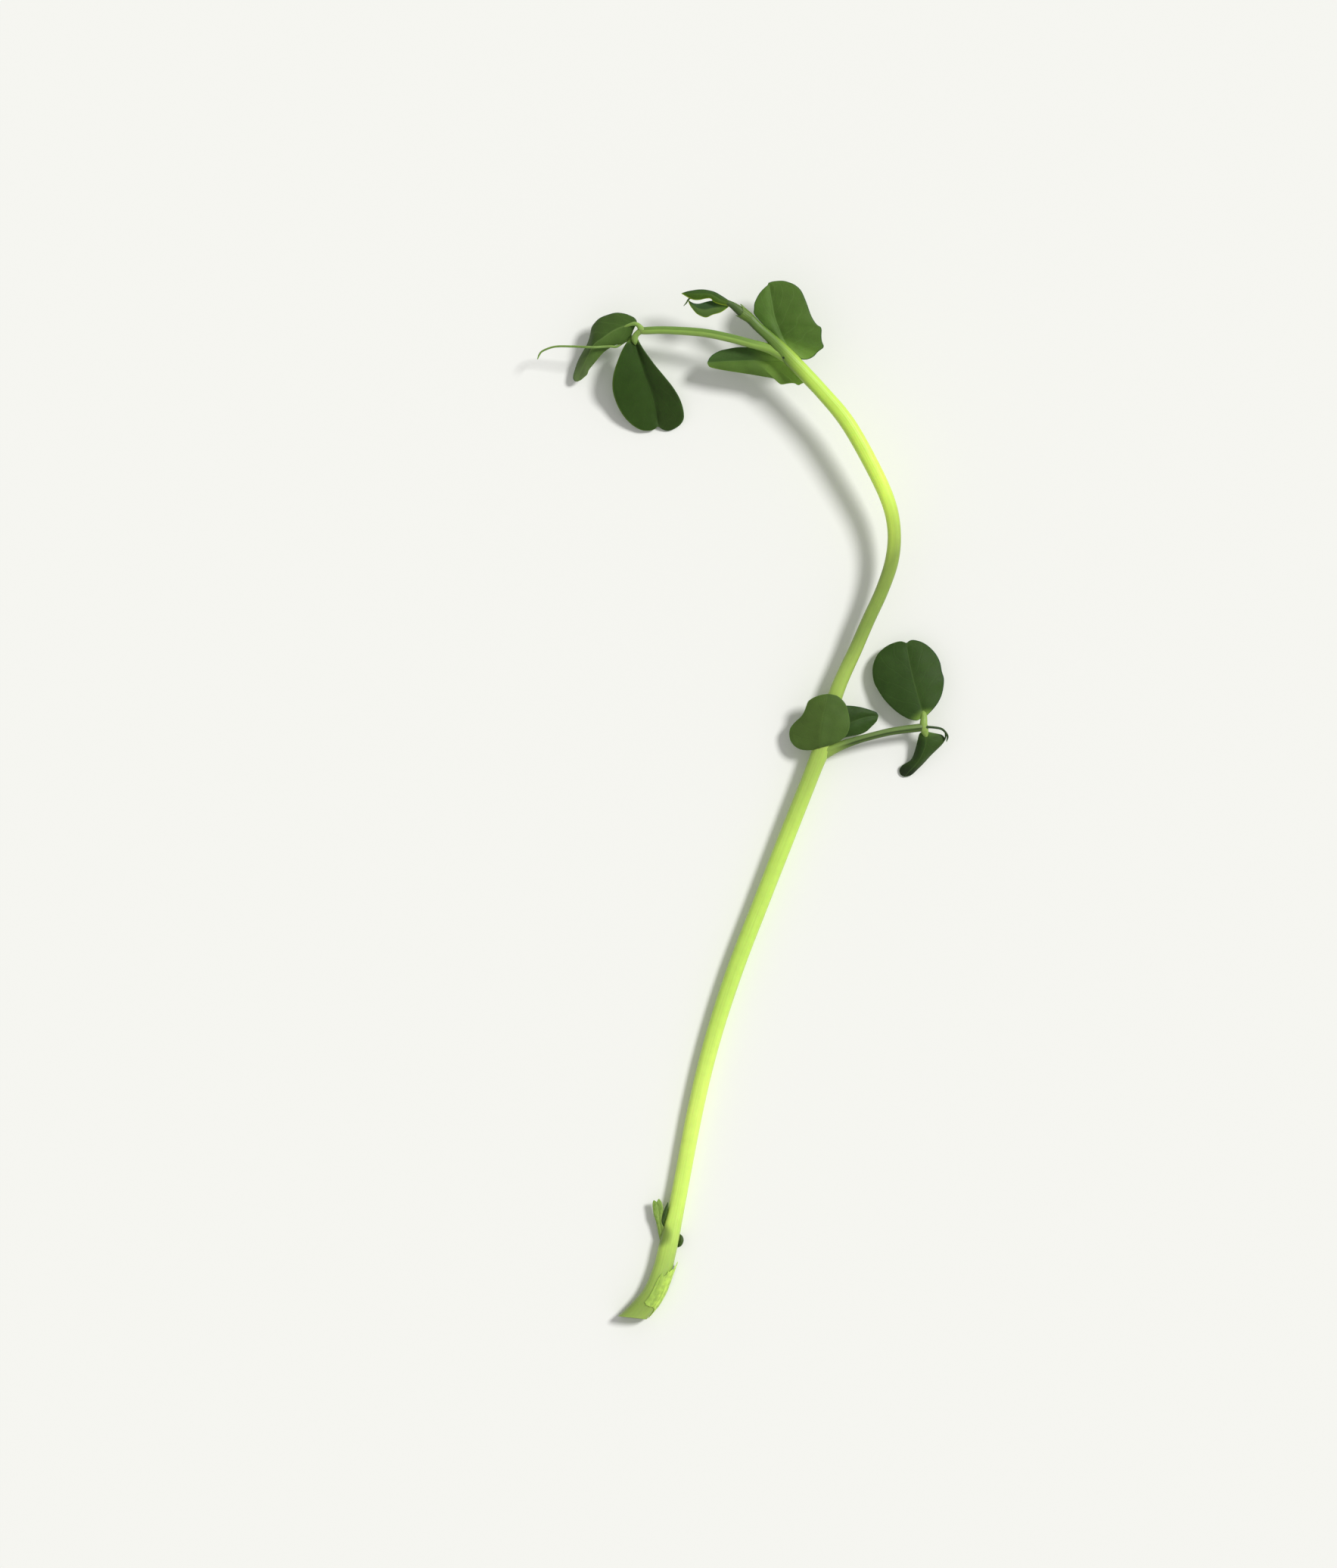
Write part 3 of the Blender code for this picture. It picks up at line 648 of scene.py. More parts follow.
# The leaves' own skin. A pea leaf is soft and dull with a waxy bloom: a darker, veined upper
# face, a paler underside with its veins standing proud, and a thin lighter rim.

VEINS, taken, given = start_group(
    "leaf veins",
    {"Place": "Vector", "Spot": "Vector", "Pairs": "Float", "Lean": "Float"},
    ("Midrib", "Side Veins", "Net", "Margin", "Right Half"),
)
# The midrib narrows towards the tip. The side veins leave it in pairs, lean forward and fade
# before the margin, and a fine net lies between them.
side, along, half = put(VEINS, "SeparateXYZ", {"Vector": taken["Place"]}).outputs
share = reckon(VEINS, "ABSOLUTE", side)
off_rib = reckon(VEINS, "MULTIPLY", share, half)
rib_width = reckon(VEINS, "MULTIPLY_ADD", along, -0.16, 0.26)
right_half = ease(VEINS, reckon(VEINS, "MULTIPLY", side, half), -0.25, 0.25)
lean = reckon(VEINS, "MULTIPLY", reckon(VEINS, "POWER", share, 0.85), taken["Lean"])
stray = put(VEINS, "TexNoise", {"Vector": taken["Spot"], "Scale": 0.5, "Detail": 1.0}).outputs[0]
steps = reckon(VEINS, "MULTIPLY", reckon(VEINS, "SUBTRACT", along, lean), taken["Pairs"])
steps = reckon(VEINS, "ADD", steps, reckon(VEINS, "MULTIPLY", stray, 0.5))
steps = reckon(VEINS, "MULTIPLY_ADD", right_half, 0.5, steps)
near_vein = reckon(VEINS, "PINGPONG", steps, 0.5)
short_of_margin = ease(VEINS, share, 0.75, 1.0, 1.0, 0.0)
side_veins = ease(VEINS, near_vein, 0.0, 0.09, 1.0, 0.0)
side_veins = reckon(VEINS, "MULTIPLY", side_veins, short_of_margin)
net = put(VEINS, "TexVoronoi", {"Vector": taken["Spot"], "Scale": 1.7}, feature="DISTANCE_TO_EDGE")
off_margin = reckon(VEINS, "MULTIPLY", reckon(VEINS, "SUBTRACT", 1.0, share), half)
VEINS.links.new(ease(VEINS, off_rib, 0.0, rib_width, 1.0, 0.0), given["Midrib"])
VEINS.links.new(side_veins, given["Side Veins"])
VEINS.links.new(ease(VEINS, net.outputs["Distance"], 0.0, 0.12, 1.0, 0.0), given["Net"])
VEINS.links.new(ease(VEINS, off_margin, 0.06, 0.22, 1.0, 0.0), given["Margin"])
VEINS.links.new(right_half, given["Right Half"])


def leaf_skin(name, left, right, vein, left_rim, right_rim, pairs=6.0, lean=0.3, proud=-1.0,
              vein_share=0.35, foot=None, foot_reach=0.22, tip=None):
    """One face of a leaf. Its veins stand proud by 1, or lie sunk by -1. Its foot and its tip may
    have their own tints, which on some leaves are painted shade or painted light."""
    skin, tree, shader = start_skin(name, specular=0.15, soft=0.12)
    place = own_place(tree)
    spot = millimetres(tree)
    veins = use(tree, VEINS, Place=place, Spot=spot, Pairs=pairs, Lean=lean)
    mottle = use(tree, MOTTLE, Spot=spot, Size=0.45)
    colour = blend(tree, veins["Right Half"], left, right)
    along = put(tree, "SeparateXYZ", {"Vector": place}).outputs[1]
    if tip:
        colour = blend(tree, ease(tree, along, 0.55, 0.92), colour, tip)
    if foot:
        colour = blend(tree, ease(tree, along, 0.0, foot_reach, 1.0, 0.0), colour, foot)
    value = reckon(tree, "MULTIPLY_ADD", mottle["Patches"], 0.5, 0.75)
    value = reckon(tree, "MULTIPLY_ADD", mottle["Grain"], 0.24, reckon(tree, "SUBTRACT", value, 0.12))
    colour = shade(tree, colour, value, saturation=1.06)
    drawn = reckon(tree, "MAXIMUM", veins["Side Veins"], reckon(tree, "MULTIPLY", veins["Net"], 0.2))
    colour = blend(tree, reckon(tree, "MULTIPLY", drawn, 0.4 * vein_share), colour, vein)
    colour = blend(tree, reckon(tree, "MULTIPLY", veins["Midrib"], 2 * vein_share), colour, vein)
    rim = blend(tree, veins["Right Half"], left_rim, right_rim)
    colour = blend(tree, reckon(tree, "MULTIPLY", veins["Margin"], 0.7), colour, rim)
    roughness = reckon(tree, "MULTIPLY_ADD", mottle["Patches"], 0.3, 0.42)
    lines = reckon(tree, "MULTIPLY_ADD", veins["Midrib"], 1.5, drawn)
    height = reckon(tree, "MULTIPLY_ADD", lines, proud, reckon(tree, "MULTIPLY", mottle["Grain"], 0.6))
    dress(tree, shader, colour, roughness, height, 0.16)
    return skin


UNDERSIDE = leaf_skin(
    "leaf underside", tint(108, 136, 84), tint(104, 132, 80), tint(150, 172, 116),
    tint(130, 155, 90), tint(130, 155, 90), proud=1.0,
)
BLUE_RIM = tint(40, 62, 52)


# The middle node: its two stipules, leafy ears at the foot of the leaf stalk. The front one
# covers the stem, and the back one shows from beneath it on the right.

lay_blade(
    "middle_stipule_front", root=(11.0, 8.1, 4.5),
    left=((-0.1, -0.6, -0.5), (-1.2, -0.9, -0.8), (-2.7, -0.8, -1.5), (-3.7, -0.2, -1.9),
          (-4.3, 0.8, -2.2), (-4.3, 2.2, -2.0), (-3.6, 3.2, -1.6), (-2.7, 4.0, -1.1),
          (-2.2, 4.8, -0.8), (-1.9, 5.6, -0.5), (-1.6, 6.3, -0.2), (-0.6, 6.9, 0.2),
          (0.4, 7.2, 0.4), (1.3, 7.3, 0.5)),
    rib=((0.1, -0.6, 0.0), (0.2, 1.6, 0.3), (0.6, 4.1, 0.6), (1.0, 5.8, 0.6), (1.3, 7.3, 0.5)),
    right=((1.0, -0.3, -0.2), (2.1, 0.0, -0.3), (3.3, 0.6, -0.4), (4.1, 1.4, -0.3),
           (4.5, 2.8, -0.1), (4.4, 4.1, 0.1), (4.0, 5.5, 0.3), (3.4, 6.4, 0.5), (2.7, 7.0, 0.5),
           (2.0, 7.2, 0.5), (1.3, 7.3, 0.5)),
    skins=(
        leaf_skin("front stipule", tint(81, 103, 50), tint(78, 101, 49), tint(92, 116, 58),
                  tint(96, 128, 58), tint(86, 112, 54), vein_share=0.06),
        UNDERSIDE,
    ),
    arch=0.12, crease=0.0, sink=0.4,
)
lay_blade(
    "middle_stipule_back", root=(13.4, 9.7, 2.4),
    left=((-0.1, 1.0, 0.2), (0.2, 2.8, 0.1), (0.9, 3.9, 0.1), (1.9, 4.1, 0.0), (3.5, 3.9, -0.2),
          (5.0, 3.5, -0.5), (6.0, 3.1, -0.7), (6.3, 2.6, -0.7)),
    rib=((-0.6, -0.2, 0.2), (2.2, 1.5, 0.0), (4.2, 2.3, -0.3), (6.3, 2.6, -0.7)),
    right=((0.2, -1.0, -0.3), (1.7, -0.6, -0.5), (3.2, -0.3, -0.8), (4.4, 0.1, -0.9),
           (5.4, 1.0, -0.9), (6.1, 1.8, -0.8), (6.3, 2.6, -0.7)),
    skins=(
        leaf_skin("back stipule", tint(54, 76, 35), tint(56, 80, 36), tint(76, 100, 50),
                  BLUE_RIM, tint(70, 96, 44), vein_share=0.2),
        UNDERSIDE,
    ),
)


# The middle leaf's stalk: firm, channelled along its top, with a short stalk for each leaflet
# and a tendril that curls over at its end.

STALK_STEP = 0.3
STALK_SIDES = 24
JOINT_STEP = 0.2
HOOK_STEP = 0.12
TENDRIL_SIDES = 12
CHANNEL_TURN = math.radians(70)
CHANNEL_DEPTH = 0.18
CHANNEL_REACH = 0.32


def channelled(turn):
    """A stalk's section: round, with a shallow channel along its top."""
    return 1 - CHANNEL_DEPTH * math.exp(-(((turn - CHANNEL_TURN) / CHANNEL_REACH) ** 2))


def plain_round(_turn):
    """A round section."""
    return 1.0


def stalk_skin(name, upper, lower, channel_shade, foot):
    """Stalk skin: two flanks, a darker line of painted shade in the channel, and a paler foot."""
    skin, tree, shader = start_skin(name, specular=0.35, soft=0.2)
    place = own_place(tree)
    spot = millimetres(tree)
    run = use(tree, STREAKS, Place=place, Fineness=7.0)
    mottle = use(tree, MOTTLE, Spot=spot, Size=1.2)
    across, top, along = put(tree, "SeparateXYZ", {"Vector": place}).outputs
    colour = blend(tree, ease(tree, across, -0.1, 0.7), upper, lower)
    # Painted shade: a darker line along the channel on top of the stalk.
    facing = reckon(tree, "MULTIPLY", across, math.cos(CHANNEL_TURN))
    facing = reckon(tree, "MULTIPLY_ADD", top, math.sin(CHANNEL_TURN), facing)
    channel_shade_mask = reckon(tree, "MULTIPLY", ease(tree, facing, 0.93, 0.985), 0.85)
    colour = blend(tree, channel_shade_mask, colour, channel_shade)
    colour = blend(tree, ease(tree, along, 0.1, 0.36, 1.0, 0.0), colour, foot)
    value = reckon(tree, "MULTIPLY_ADD", run["Streaks"], 0.4, 0.8)
    colour = shade(tree, colour, value)
    roughness = reckon(tree, "MULTIPLY_ADD", mottle["Patches"], 0.3, 0.25)
    height = reckon(tree, "MULTIPLY_ADD", mottle["Grain"], 0.4, run["Streaks"])
    dress(tree, shader, colour, roughness, height, 0.35)
    return skin


middle_stalk_mesh = bmesh.new()
draw_tube(
    middle_stalk_mesh,
    ((10.9, 6.5, 2.2, 0.8), (11.6, 6.95, 2.45, 1.1), (12.4, 7.3, 2.7, 1.02), (13.3, 7.6, 2.95, 0.82),
     (14.4, 8.0, 3.15, 0.68), (16.2, 8.6, 3.4, 0.58), (17.9, 9.1, 3.6, 0.54), (21.4, 9.95, 3.6, 0.55),
     (25.4, 10.5, 3.35, 0.58), (26.2, 10.5, 3.3, 0.45)),
    STALK_STEP, STALK_SIDES, channelled,
)
# The joint, with a short stalk up to the round leaflet and one down to the curled one.
draw_tube(
    middle_stalk_mesh,
    ((26.6, 9.1, 2.6, 0.2), (26.45, 9.7, 2.95, 0.46), (26.2, 10.4, 3.2, 0.64), (26.15, 11.1, 3.3, 0.56),
     (26.2, 11.8, 3.25, 0.5), (26.2, 12.4, 3.1, 0.46), (26.15, 12.9, 2.9, 0.38),
     (26.1, 13.4, 2.7, 0.2)),
    JOINT_STEP, STALK_SIDES, plain_round, skin=1,
)
for tendril_line in (
    ((26.2, 10.5, 3.5, 0.3), (26.8, 10.6, 3.6, 0.2), (28.0, 10.5, 3.6, 0.18), (28.8, 10.3, 3.5, 0.17),
     (29.35, 9.8, 3.2, 0.16), (29.65, 9.2, 2.9, 0.15), (29.5, 8.5, 2.6, 0.05)),
    ((29.3, 9.85, 3.2, 0.12), (29.35, 9.4, 3.0, 0.12), (29.3, 8.9, 2.7, 0.1), (29.1, 8.5, 2.5, 0.04)),
):
    draw_tube(middle_stalk_mesh, tendril_line, HOOK_STEP, TENDRIL_SIDES, plain_round, skin=2)
middle_stalk = make_piece(
    "middle_leaf_stalk_grown",
    middle_stalk_mesh,
    stalk_skin("middle stalk", tint(110, 134, 74), tint(82, 106, 46), tint(56, 76, 32),
               tint(146, 174, 82)),
    streaked_skin("pale joint", tint(150, 178, 88), tint(132, 162, 74)),
    streaked_skin("middle tendril", tint(62, 86, 40), tint(38, 56, 26)),
)
stand_for(middle_stalk, "middle_leaf_stalk")


# The middle leaf's two leaflets: a nearly round one, notched at its top, and one that is folded
# down along its length with its tip curled under.

lay_blade(
    "middle_leaflet_round", root=(26.1, 12.1, 3.3),
    left=((-0.3, -0.2, -0.1), (-0.8, -0.6, -0.1), (-2.0, -0.4, -0.2), (-3.2, 0.2, -0.3),
          (-4.5, 1.2, -0.5), (-5.7, 2.5, -0.7), (-6.6, 3.9, -0.9), (-7.2, 5.1, -1.1),
          (-7.4, 6.7, -1.2), (-7.2, 7.9, -1.3), (-6.7, 9.0, -1.4), (-6.0, 9.8, -1.4),
          (-5.0, 10.5, -1.4), (-3.9, 10.9, -1.3), (-3.1, 11.0, -1.1), (-2.4, 10.7, -0.9)),
    rib=((0.1, 0.1, 0.0), (-0.5, 2.1, 0.2), (-1.0, 3.9, 0.3), (-1.5, 5.9, 0.1), (-2.0, 8.2, -0.4),
         (-2.4, 10.7, -0.9)),
    right=((0.5, 0.1, 0.0), (1.5, 1.1, 0.0), (2.3, 2.2, -0.1), (2.9, 3.6, -0.3), (3.1, 5.4, -0.4),
           (2.8, 6.6, -0.6), (2.6, 7.8, -0.7), (2.1, 8.9, -0.9), (1.3, 9.9, -1.0), (0.3, 10.7, -1.1),
           (-0.7, 11.1, -1.1), (-1.7, 11.2, -1.1), (-2.4, 10.7, -0.9)),
    skins=(
        leaf_skin("round leaflet", tint(53, 75, 34), tint(55, 77, 34), tint(74, 100, 46),
                  tint(62, 86, 40), BLUE_RIM, vein_share=0.25, foot=tint(130, 160, 78),
                  foot_reach=0.13),
        UNDERSIDE,
    ),
)
lay_blade(
    "middle_leaflet_folded", root=(26.0, 9.8, 3.1),
    left=((-0.1, 0.1, -0.3), (-0.5, -0.2, -0.6), (-0.8, -1.4, -1.2), (-1.2, -2.9, -1.7),
          (-1.6, -3.8, -2.0), (-2.1, -4.2, -2.1), (-2.9, -4.7, -2.4), (-3.3, -5.4, -2.7),
          (-3.1, -6.1, -2.8), (-2.5, -6.4, -2.8)),
    rib=((0.4, 0.3, 0.0), (0.5, -1.4, -0.1), (0.0, -3.1, -0.5), (-0.8, -4.5, -1.2),
         (-1.7, -5.5, -1.9), (-2.5, -6.4, -2.8)),
    right=((1.0, 0.1, -0.3), (2.2, -0.1, -0.4), (3.1, -0.4, -0.7), (3.4, -1.0, -0.8),
           (3.0, -1.7, -1.0), (2.1, -2.6, -1.3), (1.2, -3.5, -1.7), (0.4, -4.4, -2.0),
           (-0.5, -5.3, -2.3), (-1.5, -6.2, -2.7), (-2.5, -6.4, -2.8)),
    skins=(
        # Its near-black tip is painted shade, where the tip curls under towards the table.
        leaf_skin("curled leaflet", tint(50, 70, 33), tint(58, 80, 37), tint(78, 104, 50),
                  tint(52, 74, 38), tint(44, 66, 40), vein_share=0.25, foot=tint(78, 106, 48),
                  tip=tint(38, 48, 30)),
        UNDERSIDE,
    ),
    across=7, wave=0.04,
)


# The top node: a broad stipule on the right of the tip and a long one on the left beneath the
# leaf stalk. Both are toothed at their lower corner and join the stem at their foot.

lay_blade(
    "top_stipule_right", root=(7.1, 64.6, 6.0),
    left=((-0.3, 0.3, -0.3), (-1.1, 0.9, -0.3), (-2.2, 1.8, -0.4), (-3.5, 3.2, -0.3),
          (-4.9, 4.7, -0.2), (-5.6, 5.6, -0.2), (-5.6, 6.3, -0.1), (-5.5, 7.2, 0.1),
          (-4.9, 8.4, 0.4), (-4.2, 9.2, 0.6), (-3.6, 9.7, 0.7), (-3.5, 10.0, 0.8)),
    rib=((-0.2, 0.2, -0.2), (-1.2, 1.8, -0.3), (-1.8, 3.0, -0.2), (-2.5, 4.8, 0.0),
         (-2.9, 6.6, 0.3), (-3.3, 9.1, 0.7), (-3.5, 10.0, 0.8)),
    right=((0.2, -0.1, -0.1), (0.7, -0.4, -0.1), (1.2, -0.8, -0.2), (1.9, -1.0, -0.3),
           (2.7, -0.8, -0.3), (3.3, -0.4, -0.2), (3.5, -0.1, -0.2), (4.0, 0.3, 0.0),
           (4.6, 0.8, 0.1), (4.3, 1.5, 0.2), (4.2, 2.3, 0.4), (4.2, 3.5, 0.6), (3.6, 3.9, 0.7),
           (2.8, 5.1, 0.9), (2.2, 6.7, 1.1), (1.8, 7.7, 1.2), (1.2, 8.9, 1.3), (0.3, 9.7, 1.3),
           (-0.6, 10.1, 1.2), (-1.3, 10.3, 1.1), (-2.1, 10.3, 1.0), (-2.9, 10.2, 0.9),
           (-3.5, 10.0, 0.8)),
    skins=(
        leaf_skin("right stipule", tint(89, 117, 56), tint(85, 111, 52), tint(120, 150, 82),
                  tint(60, 88, 52), tint(52, 78, 44), lean=0.45, vein_share=0.35,
                  foot=tint(122, 154, 70), foot_reach=0.3),
        UNDERSIDE,
    ),
    rows=64, across=10, sink=-0.6,
)
lay_blade(
    "top_stipule_left", root=(6.5, 62.6, 5.8),
    left=((-0.2, 0.9, 0.0), (-1.2, 1.8, 0.0), (-2.8, 2.4, -0.1), (-4.6, 2.8, -0.2),
          (-7.1, 2.9, -0.3), (-8.9, 2.6, -0.4), (-9.8, 2.4, -0.5), (-10.8, 1.9, -0.6),
          (-11.4, 1.3, -0.7), (-11.7, 0.6, -0.8)),
    rib=((0.0, 0.6, 0.0), (-2.0, 0.8, -0.1), (-5.1, 0.9, -0.2), (-8.9, 0.8, -0.5),
         (-11.7, 0.6, -0.8)),
    right=((0.9, 0.4, -0.1), (1.2, -0.3, -0.1), (1.7, -1.0, -0.2), (2.1, -1.4, -0.3),
           (2.4, -2.3, -0.4), (1.9, -2.5, -0.5), (1.5, -2.8, -0.6), (1.1, -2.5, -0.6),
           (0.5, -2.4, -0.6), (-0.3, -2.5, -0.6), (-0.9, -2.6, -0.6), (-1.5, -2.3, -0.5),
           (-2.0, -1.8, -0.5), (-3.5, -1.5, -0.5), (-5.8, -1.1, -0.6), (-8.9, -0.6, -0.7),
           (-10.4, -0.3, -0.8), (-11.4, 0.0, -0.8), (-11.7, 0.6, -0.8)),
    skins=(
        # Its pale foot is painted light, brightened where the stem and the stalk cast their shadow on
        # it.
        leaf_skin("left stipule", tint(71, 96, 50), tint(88, 114, 54), tint(104, 136, 66),
                  tint(52, 84, 52), tint(124, 152, 60), lean=0.4, vein_share=0.2,
                  foot=tint(160, 196, 94), foot_reach=0.5),
        UNDERSIDE,
    ),
    rows=64, sink=-0.6,
)


# The top leaf's stalk, arching to the left, with a pale joint where its leaflets start and a
# long fine tendril that runs on over the left leaflet and hooks down at its end.

TENDRIL_STEP = 0.15

top_stalk_mesh = bmesh.new()
draw_tube(
    top_stalk_mesh,
    ((6.9, 63.4, 7.3, 0.60), (6.2, 63.8, 7.3, 0.84), (5.0, 64.5, 7.4, 0.78), (3.3, 65.2, 7.4, 0.68),
     (0.7, 65.9, 7.4, 0.64), (-1.9, 66.6, 7.3, 0.63), (-5.9, 67.4, 7.0, 0.62),
     (-11.2, 67.8, 6.5, 0.57), (-14.4, 67.75, 6.1, 0.54), (-14.9, 67.85, 6.05, 0.36)),
    STALK_STEP, STALK_SIDES, channelled,
)
# The joint, with a short stalk up over the folded leaflet and one down to the heart-shaped one.
for joint_line in (
    ((-14.0, 67.6, 6.1, 0.40), (-14.7, 68.0, 6.15, 0.46), (-15.1, 68.5, 6.15, 0.34),
     (-15.6, 68.75, 6.05, 0.3), (-16.1, 68.7, 5.85, 0.26), (-16.8, 68.5, 5.6, 0.2),
     (-17.5, 68.2, 5.4, 0.1)),
    ((-14.1, 67.9, 6.1, 0.40), (-14.8, 67.7, 6.0, 0.46), (-15.3, 67.35, 5.85, 0.42),
     (-15.6, 66.95, 5.65, 0.47), (-15.65, 66.5, 5.4, 0.44), (-15.6, 66.1, 5.1, 0.3),
     (-15.55, 65.8, 4.95, 0.1)),
):
    draw_tube(top_stalk_mesh, joint_line, JOINT_STEP, STALK_SIDES, plain_round, skin=1)
draw_tube(
    top_stalk_mesh,
    ((-14.9, 67.6, 5.8, 0.3), (-15.8, 67.1, 4.8, 0.24), (-16.6, 66.65, 4.2, 0.2),
     (-17.5, 66.1, 4.0, 0.19), (-18.35, 65.6, 4.15, 0.19), (-19.3, 65.6, 4.7, 0.19),
     (-21.7, 65.42, 5.5, 0.18), (-24.7, 65.55, 5.2, 0.16), (-27.2, 65.55, 4.8, 0.15),
     (-28.9, 65.0, 4.4, 0.14), (-29.45, 64.45, 4.25, 0.13), (-29.72, 63.8, 4.1, 0.07)),
    TENDRIL_STEP, TENDRIL_SIDES, plain_round, skin=2,
)
top_stalk = make_piece(
    "top_leaf_stalk_grown",
    top_stalk_mesh,
    stalk_skin("top stalk", tint(140, 172, 80), tint(112, 146, 66), tint(108, 140, 58),
               tint(140, 174, 76)),
    streaked_skin("top joint", tint(146, 178, 88), tint(126, 158, 74)),
    streaked_skin("top tendril", tint(140, 168, 88), tint(98, 126, 54)),
)
stand_for(top_stalk, "top_leaf_stalk")


# The top leaf's two leaflets: a hanging heart-shaped one, creased along its midrib, and one that
# is folded over the end of the stalk and hangs down to the left.

lay_blade(
    "top_leaflet_heart", root=(-16.1, 66.2, 5.3),
    left=((-0.2, 0.5, 0.0), (-0.7, 0.0, 0.0), (-1.4, -1.2, 0.0), (-2.2, -3.1, -0.3),
          (-2.7, -4.9, -0.8), (-2.8, -6.8, -1.6), (-2.3, -8.6, -2.5), (-1.4, -10.3, -3.2),
          (-0.1, -11.7, -3.9), (1.3, -12.5, -4.3), (2.3, -12.6, -4.6), (3.0, -12.5, -4.6),
          (3.5, -12.2, -4.5), (3.8, -11.9, -4.5)),
    rib=((0.3, 0.6, 0.0), (0.7, -0.9, -0.4), (1.3, -2.8, -1.0), (1.9, -4.6, -1.7),
         (2.6, -6.3, -2.5), (3.1, -7.9, -3.2), (3.5, -9.7, -3.9), (3.8, -11.9, -4.5)),
    right=((0.9, 0.5, 0.0), (1.2, -0.2, 0.0), (2.1, -1.7, -0.1), (3.2, -3.1, -0.6),
           (4.6, -4.7, -1.4), (5.9, -6.3, -2.2), (7.0, -8.0, -3.2), (7.5, -9.4, -3.9),
           (7.6, -10.8, -4.5), (7.1, -11.7, -4.8), (6.2, -12.3, -4.9), (5.4, -12.6, -5.0),
           (4.7, -12.5, -4.9), (4.2, -12.2, -4.7), (3.8, -11.9, -4.5)),
    skins=(
        leaf_skin("heart leaflet", tint(51, 74, 29), tint(48, 67, 28), tint(60, 84, 36),
                  tint(86, 110, 44), tint(62, 86, 46), vein_share=0.2,
                  foot=tint(104, 136, 60), foot_reach=0.07),
        UNDERSIDE,
    ),
    crease=0.25,
)
lay_blade(
    "top_leaflet_folded", root=(-16.8, 68.6, 5.8),
    left=((1.5, 0.4, -0.2), (1.4, 0.8, -0.5), (1.1, 1.2, -0.7), (0.5, 1.5, -0.9), (-0.2, 1.8, -1.1),
          (-1.5, 2.0, -1.4), (-2.5, 1.8, -1.6), (-3.9, 1.3, -1.9), (-4.7, 0.6, -2.2),
          (-5.2, -0.1, -2.5), (-5.4, -1.2, -2.8), (-5.8, -2.4, -3.1), (-6.5, -3.6, -3.4),
          (-7.2, -4.9, -3.7), (-7.7, -6.4, -4.1), (-7.9, -7.3, -4.2), (-7.7, -7.8, -4.3),
          (-7.3, -7.9, -4.3)),
    rib=((1.45, 0.3, -0.1), (0.7, 0.2, 0.0), (-0.2, -0.1, 0.0), (-1.9, -0.8, -0.2),
         (-3.5, -1.9, -0.6), (-4.8, -2.8, -1.2), (-5.8, -4.6, -2.3), (-6.6, -6.3, -3.3),
         (-7.3, -7.9, -4.3)),
    right=((1.4, 0.2, -0.2), (1.25, -0.2, -0.4), (1.0, -0.7, -0.5), (0.85, -1.15, -0.7),
           (0.65, -1.65, -0.9), (0.1, -2.2, -1.1), (-0.55, -2.6, -1.3), (-1.8, -2.9, -1.7),
           (-2.7, -3.4, -2.0), (-3.5, -4.0, -2.3), (-4.2, -4.8, -2.7), (-5.0, -5.7, -3.3),
           (-5.5, -6.3, -3.5), (-5.7, -6.9, -3.7), (-6.2, -7.3, -3.9), (-6.7, -7.7, -4.2),
           (-7.3, -7.9, -4.3)),
    skins=(
        # Its dark foot is painted shade, by the joint that the leaflet folds over.
        leaf_skin("folded leaflet", tint(68, 90, 43), tint(90, 116, 58), tint(108, 134, 70),
                  tint(38, 62, 48), tint(110, 136, 60), vein_share=0.3,
                  foot=tint(66, 90, 40), foot_reach=0.45, tip=tint(98, 116, 74)),
        UNDERSIDE,
    ),
    wave=0.04,
)


# The tip: a young leaf still folded like praying hands, its two halves parted by a slit, with a
# stub of a tendril between them and its own small stipule clasping the stem below.

# Where the little stipule's strips start and end along the stem, from its free right point over
# the top to its bulge on the left.
TIP_FEET = (159.5, 159.0, 158.5, 158.5, 158.5, 158.5, 158.5, 158.5, 159.0, 159.5)
TIP_ENDS = (163.4, 163.8, 163.8, 163.4, 163.0, 162.8, 162.8, 163.0, 163.3, 163.3)
TIP_TURNS = (-40, 200)

